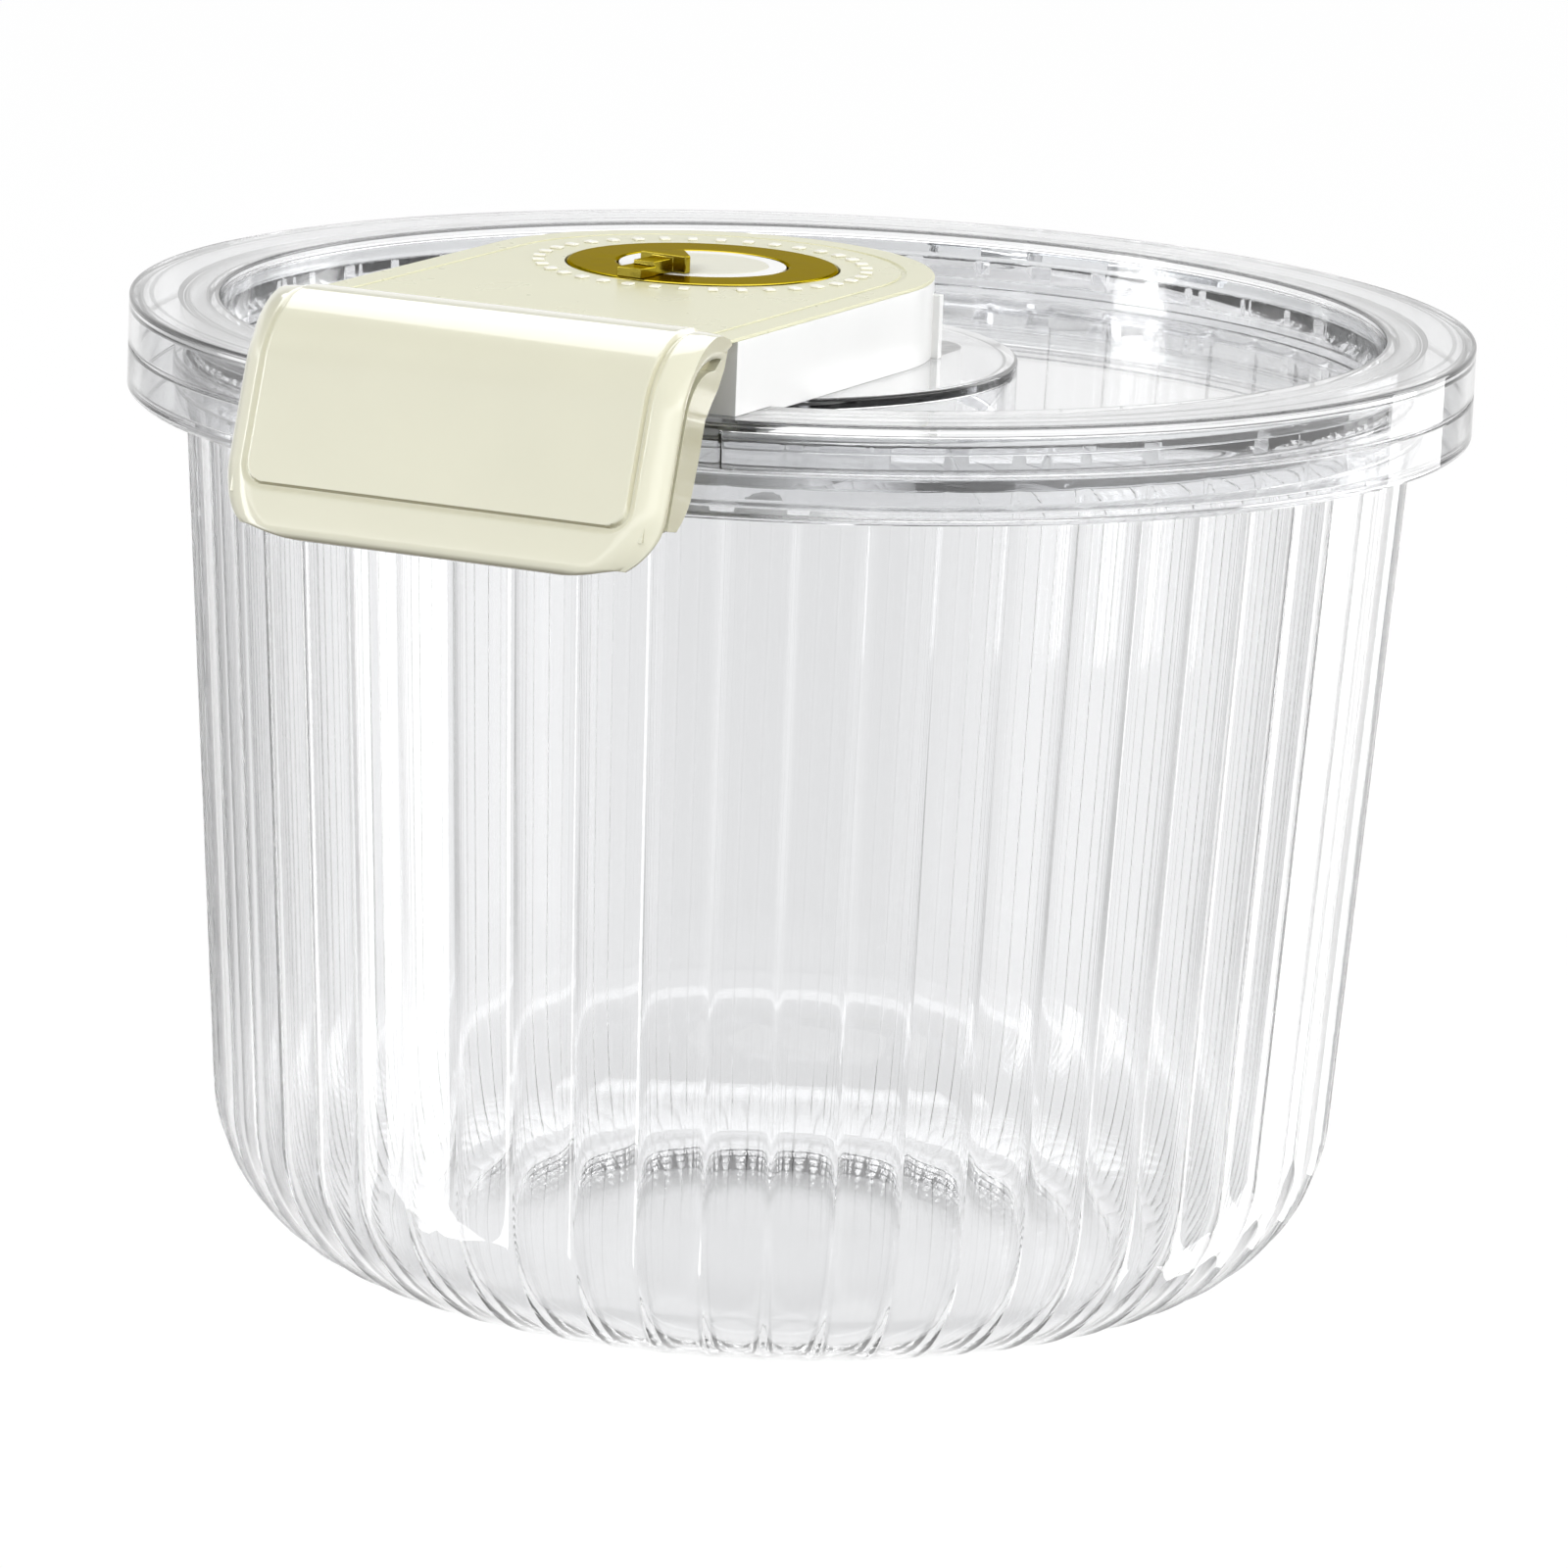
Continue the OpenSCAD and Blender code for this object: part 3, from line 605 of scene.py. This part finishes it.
    def repeat(self, tub, count):
        """Copies the sector all the way round and joins the copies."""
        join_within = 6e-6
        pivot = bpy.data.objects.new("flute_turn", None)
        pivot.rotation_euler.z = math.tau / count
        bpy.context.scene.collection.objects.link(pivot)
        bpy.context.view_layer.update()
        modify(
            tub, "ARRAY", use_relative_offset=False, use_object_offset=True, offset_object=pivot, count=count,
            use_merge_vertices=True, use_merge_vertices_cap=True, merge_threshold=join_within,
        )
        bpy.data.objects.remove(pivot)
        bpy.ops.object.mode_set(mode="EDIT")
        bpy.ops.mesh.select_all(action="SELECT")
        bpy.ops.mesh.remove_doubles(threshold=join_within)
        bpy.ops.mesh.normals_make_consistent(inside=False)
        deselect()


# ---------- collar, lid and gasket ----------


def knuckle(name, start, end, up):
    """One knuckle of the rear hinge, between two places across in millimetres, with its arm to the ring."""
    y, radius, way = LID_R + 4.5 * MM, 4.2 * MM, 1 if up else -1
    root, near, far = LID_R - 1.2 * MM, PART_Z + way * PART_GAP, PART_Z + way * radius
    side = arc(y, PART_Z, radius, -60 * way, 90 * way, 18) + [(root, far), (root, near), (y - radius, near)]
    side += arc(y, PART_Z, radius, 180, 180 + 120 * way, 12)[1:-1]
    return extruded(name, side, start * MM, end * MM)


class BIN_OT_collar(bpy.types.Operator):
    """Spins the clear collar under the lid, with its catch and hinge knuckles"""

    bl_idname = "bin.collar"
    bl_label = "Collar Ring"

    def execute(self, context):
        bore, top, shelf = TUB_R + PLAY, PART_Z - PART_GAP, PART_Z - 2 * PART_GAP
        lip = TUB_R - context.scene.bin_tub.wall + LIP_WALL + PLAY
        chamfer, inner, floor_z = 0.8 * MM, LID_R - CLEAR_WALL, COLLAR_Z + CLEAR_WALL
        ring = [
            (bore, COLLAR_Z), (LID_R - chamfer, COLLAR_Z), (LID_R, COLLAR_Z + chamfer), (LID_R, top),
            (inner, top), (inner, floor_z), (bore + CLEAR_WALL, floor_z), (bore + CLEAR_WALL, shelf),
            (lip, shelf), (lip, LEDGE_Z), (bore, LEDGE_Z),
        ]
        pieces = [turned("collar", eased(ring, 0.45 * MM), 240)]
        pieces += [knuckle("collar_knuckle", *span, False) for span in ((-33, -20), (-9, 9), (20, 33))]
        front, root, low = -LID_R - 2.5 * MM, -LID_R + 1.4 * MM, top - CATCH_HEIGHT
        catch = [(front, low), (root, low), (root, top), (-LID_R - 1.2 * MM, top), (front, top - 1.6 * MM)]
        pieces.append(extruded("collar_catch", catch, -HOOK_HALF, HOOK_HALF))
        for piece in pieces[1:]:
            rounded(piece, 0.35 * MM)
        collar = joined("collar", pieces)
        smooth(collar, 40)
        clear = tinted(context.scene.bin_colours.clear, LID_TINT)
        place(collar, "collar_ring", see_through("clear collar plastic", clear))
        return {"FINISHED"}


class BIN_OT_lid(bpy.types.Operator):
    """Spins the clear lid, raises the round seat under the dial housing and cuts the flat behind the flap"""

    bl_idname = "bin.lid"
    bl_label = "Flip Lid"

    def execute(self, context):
        wall, pan, pan_z = CLEAR_WALL, LID_R - 17 * MM, RIM_Z - 12 * MM
        under, floor_z, seat_z = RIM_Z - wall, pan_z - wall, RIM_Z - 1 * MM
        # a rib holds the gasket against the wall of the pan
        pan_out, rib, rib_out, rib_z = pan + 2 * MM, TUB_R + 0.2 * MM, TUB_R + 1.4 * MM, under - 4.6 * MM
        outline = [
            (0.0, floor_z), (pan_out, floor_z), (pan_out, under), (rib, under), (rib, rib_z),
            (rib_out, rib_z), (rib_out, under), (LID_R - wall, under), (LID_R - wall, PART_Z),
            (LID_R, PART_Z), (LID_R, RIM_Z), (pan, RIM_Z), (pan, pan_z), (0.0, pan_z),
        ]
        lid = turned("flip_lid", eased(outline, 0.5 * MM), 240)
        for name, radius, low, high, edge, operation in (
            ("seat", 59 * MM, floor_z + 0.1 * MM, seat_z, 0.8 * MM, "UNION"),
            ("seat_hollow", 56.8 * MM, pan_z - 8 * MM, seat_z - wall, 0.6 * MM, "DIFFERENCE"),
        ):
            disc = [(0.0, low), (radius, low), (radius, high), (0.0, high)]
            cut(lid, turned(name, eased(disc, edge), 160, (0.0, DIAL_Y)), operation)
        self.flatten(lid, wall)
        knuckles = [knuckle("lid_knuckle", *span, True) for span in ((-19.7, -9.3), (9.3, 19.7))]
        lid = joined("flip_lid", [lid, *knuckles])
        smooth(lid, 40)
        plastic = see_through("clear lid plastic", tinted(context.scene.bin_colours.clear, LID_TINT))
        # painted shade: dark lines round the rim's outer edge, a ring inside it and the pan's edge, in place
        # of dark edge reflections
        painted_lines = ((LID_R, 0.8 * MM, 0.15), (LID_R - 4.2 * MM, 0.3 * MM, 0.4), (pan, 0.8 * MM, 0.12))
        painted_edge_lines(plastic, painted_lines, RIM_Z - 0.6 * MM)
        place(lid, "lid_panel", plastic)
        inner, outer, low, high = pan_out + 0.05 * MM, rib - 0.05 * MM, under - 3 * MM, under - 0.05 * MM
        gasket = [(inner, low), (outer, low), (outer, high), (inner, high)]
        seal = turned("seal", eased(gasket, 0.8 * MM, 4), 240)
        smooth(seal, 60)
        place(seal, "lid_gasket", see_through("silicone", (0.9, 0.905, 0.905), ior=1.41, edge=0.6))
        return {"FINISHED"}

    def flatten(self, lid, wall):
        """Cuts the lid's front off flat and closes it with a wall."""
        side, front = 60 * MM, -140 * MM
        room = [(-side, front), (side, front), (side, NOTCH_Y), (-side, NOTCH_Y)]
        cut(lid, extruded("front_cut", room, PART_Z - 5 * MM, RIM_Z + 5 * MM, "Z"), "DIFFERENCE")
        end = math.sqrt(LID_R**2 - NOTCH_Y**2) - 0.4 * MM
        back_end = end - 4 * MM
        flat = [(-end, NOTCH_Y), (end, NOTCH_Y), (back_end, NOTCH_Y + wall), (-back_end, NOTCH_Y + wall)]
        cut(lid, extruded("front_wall", flat, PART_Z, RIM_Z - 0.8 * MM, "Z"), "UNION")


# ---------- latch flap ----------


def smoothed(share):
    """A soft step from 0 to 1."""
    share = max(0.0, min(1.0, share))
    return share * share * (3 - 2 * share)


def flap_path(sizes):
    """The flap's side path, from its rear edge over the roll to its lower edge.

    Its points are (forward of the bin's middle, over the rim, outward angle in degrees).
    """
    lean, cosine, sine = math.tan(sizes.slant), math.cos(sizes.slant), math.sin(sizes.slant)
    slant, low_r = math.degrees(sizes.slant), 2 * MM
    centre = (FLAP_AXIS + 1.62 * MM, FLAP_RISE + 2 * MM - sizes.roll)
    face_u, face_v = centre[0] + sizes.roll * cosine, centre[1] + sizes.roll * sine
    low_v = low_r - sizes.drop
    end_v = low_v + low_r * sine
    low_u = face_u + (face_v - end_v) * lean - low_r * cosine
    # the rear edge, as (forward of the pin, over the plate) in millimetres, with the outward angle
    rear = (
        (-5.3, -0.6, 160), (-4.9, 0.2, 140), (-4.3, 0.75, 125), (-3.3, 1.15, 110), (-1.5, 1.75, 97),
        (0, 1.95, 92),
    )
    path = [(FLAP_AXIS + u * MM, FLAP_RISE + v * MM, angle) for u, v, angle in rear]
    roll = arc(*centre, sizes.roll, 90, slant, 30)
    path += [(u, v, 90 - (90 - slant) * i / 30) for i, (u, v) in enumerate(roll)]
    # the face's rows lie close together at the lower edge of the panel
    panel_low = 9.3 * MM - sizes.drop
    rows = [face_v - (face_v - end_v) * share for share in (0.15, 0.3, 0.45)]
    rows += [panel_low - k * 0.2 * MM for k in range(-14, 14)]
    rows += [panel_low - 2.8 * MM - k * 0.35 * MM for k in range(1, 9)]
    rows += [panel_low + k * MM for k in (3.3, 4, 5, 6)]
    rows = sorted((v for v in rows if end_v + 0.1 * MM < v < face_v), reverse=True)
    path += [(face_u + (face_v - v) * lean, v, slant) for v in rows]
    low_edge = arc(low_u, low_v, low_r, slant, -90, 14)
    path += [(u, v, slant - (90 + slant) * i / 14) for i, (u, v) in enumerate(low_edge)]
    return path


class BIN_OT_flap(bpy.types.Operator):
    """Sweeps the flap's shell from its rolled top to its lower edge and adds the pieces behind it"""

    bl_idname = "bin.flap"
    bl_label = "Latch Flap"

    def execute(self, context):
        sizes = context.scene.bin_flap
        flap = joined("flap", [self.shell(sizes), *self.back_pieces(sizes)])
        smooth(flap, 38)
        cream = moulded("cream gloss plastic", tuple(context.scene.bin_colours.cream), (0.19, 0.21), coat=0.8)
        shaded_sides(cream)
        place(flap, "latch_flap", cream)
        return {"FINISHED"}

    def shell(self, sizes):
        """Sweeps one closed row after another along the side path and caps both ends."""
        path, across = flap_path(sizes), self.columns(sizes)
        along = [0.0]
        for (u0, v0, _), (u1, v1, _) in zip(path, path[1:]):
            along.append(along[-1] + math.hypot(u1 - u0, v1 - v0))
        panel_end = next(s for s, (_, v, _) in zip(along, path) if v < 9.35 * MM - sizes.drop and s > 0.02)
        rows = [self.row(sizes, across, v, angle, s - panel_end) for (_, v, angle), s in zip(path, along)]
        deselect()
        count = len(rows[0])
        bpy.ops.mesh.primitive_grid_add(x_subdivisions=count, y_subdivisions=len(path) - 1, size=0.1)
        shell = bpy.context.object
        shell.name = "flap_shell"
        for j, ((u, v, angle), row) in enumerate(zip(path, rows)):
            turn = math.radians(angle)
            for i, (x, depth) in enumerate(row + row[:1]):
                point = (x, depth * math.cos(turn) - u, RIM_Z + v - depth * math.sin(turn))
                shell.data.vertices[j * (count + 1) + i].co = point
        bpy.ops.object.mode_set(mode="EDIT")
        bpy.ops.mesh.select_all(action="SELECT")
        bpy.ops.mesh.remove_doubles(threshold=1e-6)
        bpy.ops.mesh.select_all(action="DESELECT")
        bpy.ops.mesh.select_non_manifold()
        bpy.ops.mesh.edge_face_add()
        bpy.ops.mesh.select_all(action="SELECT")
        bpy.ops.mesh.normals_make_consistent(inside=False)
        deselect()
        return shell

    def columns(self, sizes):
        """Where the shell's columns lie across its width, from -1 to 1, close together beside the panel."""
        half, before = sizes.half_width, 0.06
        start = 1 - (sizes.border + 1.6 * MM) / half
        fine = 3.2 * MM / half
        end = start + fine
        shares = [i / 6 * (start - before) for i in range(6)]
        shares += [start - before + before * i / 6 for i in range(6)]
        shares += [start + fine * i / 16 for i in range(16)]
        shares += [end + (1 - end) * (i / 14) ** 0.8 for i in range(15)]
        return [-share for share in reversed(shares)] + shares[1:]

    def row(self, sizes, across, v, angle, past):
        """A closed row of (across, depth): over the face, round an edge, along the inside and back."""
        corner, shell, flange, rim = 13 * MM, 1.8 * MM, 4.4 * MM, 2.2 * MM
        over = v + sizes.drop
        wide = sizes.half_width - corner + math.sqrt(max(0.0, corner**2 - max(0.0, corner - over) ** 2))
        low, soft = min(1.0, over / (9 * MM)), max(0.12, min(1.0, (100 - angle) / 60))
        shape = (wide, past, soft * (0.4 + 0.6 * low))
        face = [(share * wide, self.depth(sizes, share * wide, *shape)) for share in across]
        edge = self.depth(sizes, wide, *shape)
        deep = max(rim + (flange - rim) * low, edge + 0.9 * MM)
        side = []
        for share in (0.12, 0.3, 0.5, 0.7, 0.88, 1.0):
            side.append((wide - 4.5 * MM * max(0.0, share - 0.7) ** 2, edge + (deep - edge) * share))
        inside = wide - 1.9 * MM
        side += [(inside, deep - 0.15 * MM), (inside - 0.1 * MM, shell + 1 * MM)]
        back = [(inside * (1 - k / 10), shell) for k in range(1, 20)]
        return face + side + back + [(-x, depth) for x, depth in reversed(side)]

    def depth(self, sizes, x, wide, past, fullness):
        """How far the face lies behind the side path. Its edges fall back, and its panel stands out."""
        from_side, reach, fall = wide - abs(x), 6.4 * MM, 0.0
        if from_side < reach:
            bend = (reach**2 + sizes.bow**2) / (2 * sizes.bow)
            fall = (bend - math.sqrt(bend**2 - (reach - max(from_side, 0.0)) ** 2)) * fullness
        round_r, gutter = 4 * MM, 0.6 * MM
        px, py = abs(x) - sizes.half_width + sizes.border + round_r, past + round_r
        out = (math.hypot(max(px, 0), max(py, 0)) + min(max(px, py), 0) - round_r) / MM
        if out > 0.1:
            return fall + gutter * smoothed((1.25 - out) / 1.1)
        return fall + gutter - (gutter + sizes.panel_rise * 0.6) * smoothed((0.1 - out) / 0.6)

    def back_pieces(self, sizes):
        """Side walls, rear leg, knuckles and hook."""
        half, pin_v = sizes.half_width, FLAP_RISE - 3.6 * MM
        # the leg's line, as (forward of the pin, over the rim) in millimetres
        leg = (
            (-4.9, 13), (-3.6, 9.2), (-1.4, 5.9), (1.4, 3.1), (3.3, 0.8), (5, -5), (6.6, -9.5), (8, -13),
            (9.2, -14.6), (11, -16.2), (13, -17.6),
        )
        leg = [(FLAP_AXIS + u * MM, v * MM) for u, v in leg]
        path = [point for point in flap_path(sizes) if point[1] > -18 * MM]
        pieces = []

        def add(name, points, x0, x1):
            pieces.append(extruded(name, [(-u, RIM_Z + v) for u, v in points], x0, x1))

        def within(points, depth):
            turns = [math.radians(angle) for _, _, angle in points]
            return [(u - depth * math.cos(a), v - depth * math.sin(a)) for (u, v, _), a in zip(points, turns)]

        outer = [point for point in within(path[5:], 6.6 * MM) if point[1] > -17 * MM]
        for sign in (-1, 1):
            span = sorted((sign * (half - 3.9 * MM), sign * (half - 2.5 * MM)))
            add("flap_side", within(path[1:], 1.2 * MM) + leg[::-1], *span)
            span = sorted((sign * (half - 2.6 * MM), sign * (half - 0.6 * MM)))
            add("flap_side_outer", outer + leg[::-1], *span)
        inside = []
        for i, (u, v) in enumerate(leg):
            way = Vector(leg[min(i + 1, len(leg) - 1)]) - Vector(leg[max(i - 1, 0)])
            across = Vector((-way.y, way.x)).normalized() * 1.6 * MM
            inside.append((u + across.x, v + across.y))
        for x0, x1 in ((-39.8, -30.3), (-23.7, 23.7), (30.3, 39.8)):
            add("flap_leg", leg + inside[::-1], x0 * MM, x1 * MM)
        back, front, tie_top = FLAP_AXIS - 1.2 * MM, FLAP_AXIS + 1.2 * MM, FLAP_RISE + 1 * MM
        tie = [(back, pin_v), (front, pin_v), (front, tie_top), (back, tie_top)]
        for x0, x1 in ((-37, -30.3), (-8, 8), (30.3, 37)):
            add("flap_knuckle", arc(FLAP_AXIS, pin_v, 3 * MM, 0, 360, 32)[:-1], x0 * MM, x1 * MM)
            add("flap_tie", tie, x0 * MM, x1 * MM)
        # the hook reaches under the collar's catch
        hook_v = PART_Z - RIM_Z - PART_GAP - CATCH_HEIGHT - 0.6 * MM
        root, tip = FLAP_AXIS + 9.6 * MM, LID_R + 3 * MM
        hook = [(root, hook_v - 4 * MM), (root, hook_v), (tip, hook_v), (tip, hook_v - 1.2 * MM)]
        add("flap_hook", hook, -HOOK_HALF, HOOK_HALF)
        for piece in pieces:
            rounded(piece, 0.25 * MM, 35)
        return pieces


# ---------- housing, plate and dial ----------


class BIN_OT_plate(bpy.types.Operator):
    """Rounds the edges of the cream top plate and gives its raised marks their print"""

    bl_idname = "bin.plate"
    bl_label = "Top Plate"

    def execute(self, context):
        colours = context.scene.bin_colours
        # the plate is a little deeper in colour than the flap
        red, green, blue = colours.cream
        tone = (red * 0.9, green * 0.9, blue * 0.76)
        cream = moulded("cream plate plastic", tone, (0.273, 0.277), 0.001 * MM)
        place(copy_of("top_plate", "plate", 0.12 * MM), "top_plate", cream)
        marks = moulded("pale marks", tuple(colours.marks), (0.25, 0.35))
        place(copy_of("scale_marks", "marks", 0.12 * MM), "scale_marks", marks)
        return {"FINISHED"}


class BIN_OT_housing(bpy.types.Operator):
    """Rounds the edges of the white housing, hub, desiccant box and cover"""

    bl_idname = "bin.housing"
    bl_label = "White Parts"

    def execute(self, context):
        white = tuple(context.scene.bin_colours.white)
        for node, name, edge in (
            ("dial_housing", "housing", 0.2), ("dial_hub", "hub", 0.15),
            ("desiccant_box", "drying_box", 0.35), ("desiccant_cover", "box_cover", 0.35),
        ):
            plastic = moulded(name.replace("_", " ") + " white", white, (0.263, 0.267))
            place(copy_of(node, name, edge * MM), node, plastic)
        paper, tree, shader, where = material("sachet paper")
        fibres = noise(tree, where, 900, 6, (1, 3, 1))
        tints = shades(tree, fibres, [(0.35, (0.8, 0.8, 0.82)), (0.65, (0.93, 0.93, 0.94))])
        feed(tree, shader.inputs["Base Color"], tints)
        feed(tree, shader.inputs["Roughness"], spread(tree, fibres, 0.75, 0.95))
        relief(tree, shader, fibres, 0.1 * MM)
        place(copy_of("desiccant_sachet", "sachet", 2.2 * MM, 5), "desiccant_sachet", paper)
        return {"FINISHED"}


class BIN_OT_dial(bpy.types.Operator):
    """Rounds the gold ring and its pointer, and the beige disc in the middle"""

    bl_idname = "bin.dial"
    bl_label = "Dial"

    def execute(self, context):
        colours = context.scene.bin_colours
        gold = metal("gold plating", tuple(colours.gold), (0.12, 0.2))
        place(copy_of("dial_ring", "ring", 0.18 * MM, 3), "dial_ring", gold)
        place(copy_of("dial_pointer", "pointer", 0.35 * MM, 3), "dial_pointer", gold)
        beige = moulded("beige disc", tuple(colours.beige), (0.35, 0.5))
        place(copy_of("centre_disc", "disc", 0.15 * MM), "centre_disc", beige)
        return {"FINISHED"}


class BIN_OT_hardware(bpy.types.Operator):
    """Finishes the pins, screws and clip as bright steel"""

    bl_idname = "bin.hardware"
    bl_label = "Pins and Screws"

    def execute(self, context):
        steel = metal("bright steel", (0.62, 0.63, 0.65), (0.2, 0.34), (1, 14, 14), 500, 0.006 * MM)
        for node in ("hinge_pin", "housing_screws", "hub_clip", "latch_pin", "cover_pin"):
            place(copy_of(node, node + "_steel", 0.12 * MM), node, steel)
        return {"FINISHED"}


# ---------- stage ----------


def flags(tree, where, strength):
    """Light round the bin by direction: bright behind it, dark beside that, then lighter to the sides."""
    flat = vectors(tree, "NORMALIZE", vectors(tree, "MULTIPLY", where, (1, 1, 0)))
    share = maths(tree, "MULTIPLY_ADD", vectors(tree, "DOT_PRODUCT", flat, CAMERA_SIDE), 0.5, 0.5)
    return shades(tree, share, [(spot, level * strength) for spot, level in FLAG_LEVELS])


def seen_through(tree):
    """The kinds of rays, and whether one is a reflection or comes through clear plastic."""
    path = tree.nodes.new("ShaderNodeLightPath").outputs
    return path, maths(tree, "MAXIMUM", path["Is Glossy Ray"], path["Is Transmission Ray"])


class BIN_OT_stage(bpy.types.Operator):
    """Sets the floor, the world, the lamps and the camera"""

    bl_idname = "bin.stage"
    bl_label = "Stage"

    def execute(self, context):
        self.floor()
        self.world(context)
        self.lamps()
        self.camera(context)
        context.scene.view_settings.view_transform = "Standard"
        context.scene.cycles.max_bounces = 28
        context.scene.cycles.transmission_bounces = 28
        context.scene.cycles.glossy_bounces = 16
        return {"FINISHED"}

    def floor(self):
        """A pale floor that glows to what looks at it, so that it has no horizon."""
        deselect()
        bpy.ops.mesh.primitive_circle_add(vertices=96, radius=6, fill_type="NGON", location=(0, 0, -0.3 * MM))
        floor = bpy.context.object
        floor.name = "floor"
        floor.visible_glossy = False
        made, tree, shader, where = material("pale floor")
        shader.inputs["Base Color"].default_value = (0.4, 0.4, 0.4, 1)
        shader.inputs["Roughness"].default_value = 0.9
        path, seen = seen_through(tree)
        # seen through the bin, the floor is darker beside it, as between two black flags
        away, level = ranged(tree, vectors(tree, "LENGTH", where), 0.16, 0.34, soft=True), 1.12
        flagged = maths(tree, "MULTIPLY", away, path["Is Transmission Ray"])
        glow = tree.nodes.new("ShaderNodeEmission")
        feed(tree, glow.inputs["Color"], blend(tree, flagged, (level,) * 3, flags(tree, where, level)))
        share = maths(tree, "MULTIPLY", maths(tree, "MAXIMUM", seen, path["Is Camera Ray"]), 0.85)
        shown(tree, share, shader.outputs["BSDF"], glow.outputs["Emission"])
        floor.data.materials.append(made)

    def world(self, context):
        """A white room whose bands of light are only seen in the gloss and through the clear plastic."""
        world = bpy.data.worlds.new("studio")
        context.scene.world = world
        world.use_nodes = True
        tree = world.node_tree
        where = coordinates(tree, "Generated")
        up = axes(tree, where)["Z"]
        height = maths(tree, "MULTIPLY_ADD", up, 0.5, 0.5)
        front = (
            (0, 1), (0.6, 1), (0.615, 2.6), (0.655, 2.6), (0.67, 0.7), (0.75, (0.25, 0.25, 0.26)),
            (0.95, 0.1),
        )
        behind = ((0, 1), (0.5, 1), (0.53, 1.05), (0.64, 1), (0.71, 0.3), (0.8, 0.12), (0.95, 0.1))
        forward = ranged(tree, vectors(tree, "DOT_PRODUCT", where, CAMERA_SIDE), -0.5, -0.2)
        sky = blend(tree, forward, shades(tree, height, behind), shades(tree, height, front))
        sky = blend(tree, ranged(tree, up, 0.04, -0.04), sky, flags(tree, where, 1.0))
        path, seen = seen_through(tree)
        sky = blend(tree, seen, (0.6, 0.603, 0.61), sky)
        sky = blend(tree, path["Is Camera Ray"], sky, (1, 1, 1))
        feed(tree, tree.nodes["Background"].inputs["Color"], sky)

    def lamps(self):
        """Soft boxes round the bin. The strips only show in the gloss, and the fills only light the surfaces.

        Each has a name, a turn from the front (-Y) and a height angle in degrees, a distance, a width,
        a height and a power.
        """
        aim = Vector((0, 0, 0.12))
        for name, turn, up, far, wide, high, power in (
            ("left strip", -50, 0, 1.1, 0.25, 2.2, 7.5),
            ("right strip", 150, 0, 1.1, 0.42, 2.2, 8),
            ("overhead strip", 205, 62, 1.3, 1.2, 1.4, 16),
            ("front fill", -12, 35, 1.8, 0.8, 0.6, 11),
            ("right fill", 85, 20, 1.5, 0.8, 0.6, 11),
        ):
            a, e = math.radians(turn), math.radians(up)
            away = Vector((math.sin(a) * math.cos(e), -math.cos(a) * math.cos(e), math.sin(e)))
            light = bpy.data.lights.new(name, "AREA")
            light.shape = "RECTANGLE"
            light.size, light.size_y, light.energy = wide, high, power
            lamp = bpy.data.objects.new(name, light)
            lamp.location = aim + away * far
            lamp.rotation_mode = "QUATERNION"
            lamp.rotation_quaternion = away.to_track_quat("Z", "Y")
            lamp.visible_camera = False
            lamp.visible_diffuse = not name.endswith("strip")
            lamp.visible_glossy = lamp.visible_transmission = name.endswith("strip")
            bpy.context.scene.collection.objects.link(lamp)

    def camera(self, context):
        """The photograph's viewpoint, fitted to the bin's outline: right of the flap, looking down."""
        turn, down, roll = VIEW_TURN, math.radians(12.009), math.radians(2.346)
        away, height = 1.67204, 0.44834
        photo_width, focal_length, sensor = 1600, 9102.64, 36
        forward = Vector((-math.sin(turn) * math.cos(down), math.cos(turn) * math.cos(down), -math.sin(down)))
        level = Vector((math.cos(turn), math.sin(turn), 0))
        up = level.cross(forward)
        right = level * math.cos(roll) + up * math.sin(roll)
        top = up * math.cos(roll) - level * math.sin(roll)
        camera = bpy.data.cameras.new("camera")
        camera.sensor_width = sensor
        camera.lens = focal_length / photo_width * sensor
        camera.clip_start, camera.clip_end = 0.05, 50
        obj = bpy.data.objects.new("camera", camera)
        place_at = Matrix((right, top, -forward)).transposed().to_4x4()
        place_at.translation = Vector((math.sin(turn) * away, -math.cos(turn) * away, height))
        obj.matrix_world = place_at
        context.scene.collection.objects.link(obj)
        context.scene.camera = obj


# ---------- panel and registration ----------


STEPS = (
    BIN_OT_tub, BIN_OT_collar, BIN_OT_lid, BIN_OT_flap, BIN_OT_plate, BIN_OT_housing, BIN_OT_dial,
    BIN_OT_hardware, BIN_OT_stage,
)
GROUPS = {"bin_tub": BinTubSettings, "bin_flap": BinFlapSettings, "bin_colours": BinColourSettings}


class BIN_PT_panel(bpy.types.Panel):
    bl_label = "Rice Bin"
    bl_space_type = "VIEW_3D"
    bl_region_type = "UI"
    bl_category = "Rice Bin"

    def draw(self, context):
        for name, group in GROUPS.items():
            box = self.layout.box()
            for prop in group.__annotations__:
                box.prop(getattr(context.scene, name), prop)
        for step in STEPS:
            self.layout.operator(step.bl_idname)


def register():
    for cls in (*GROUPS.values(), *STEPS, BIN_PT_panel):
        bpy.utils.register_class(cls)
    for name, group in GROUPS.items():
        setattr(bpy.types.Scene, name, bpy.props.PointerProperty(type=group))


def unregister():
    for name in GROUPS:
        delattr(bpy.types.Scene, name)
    for cls in reversed((*GROUPS.values(), *STEPS, BIN_PT_panel)):
        bpy.utils.unregister_class(cls)


def main():
    register()
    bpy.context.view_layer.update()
    for step in STEPS:
        getattr(bpy.ops.bin, step.bl_idname.split(".")[1])()


if __name__ == "__main__":
    main()
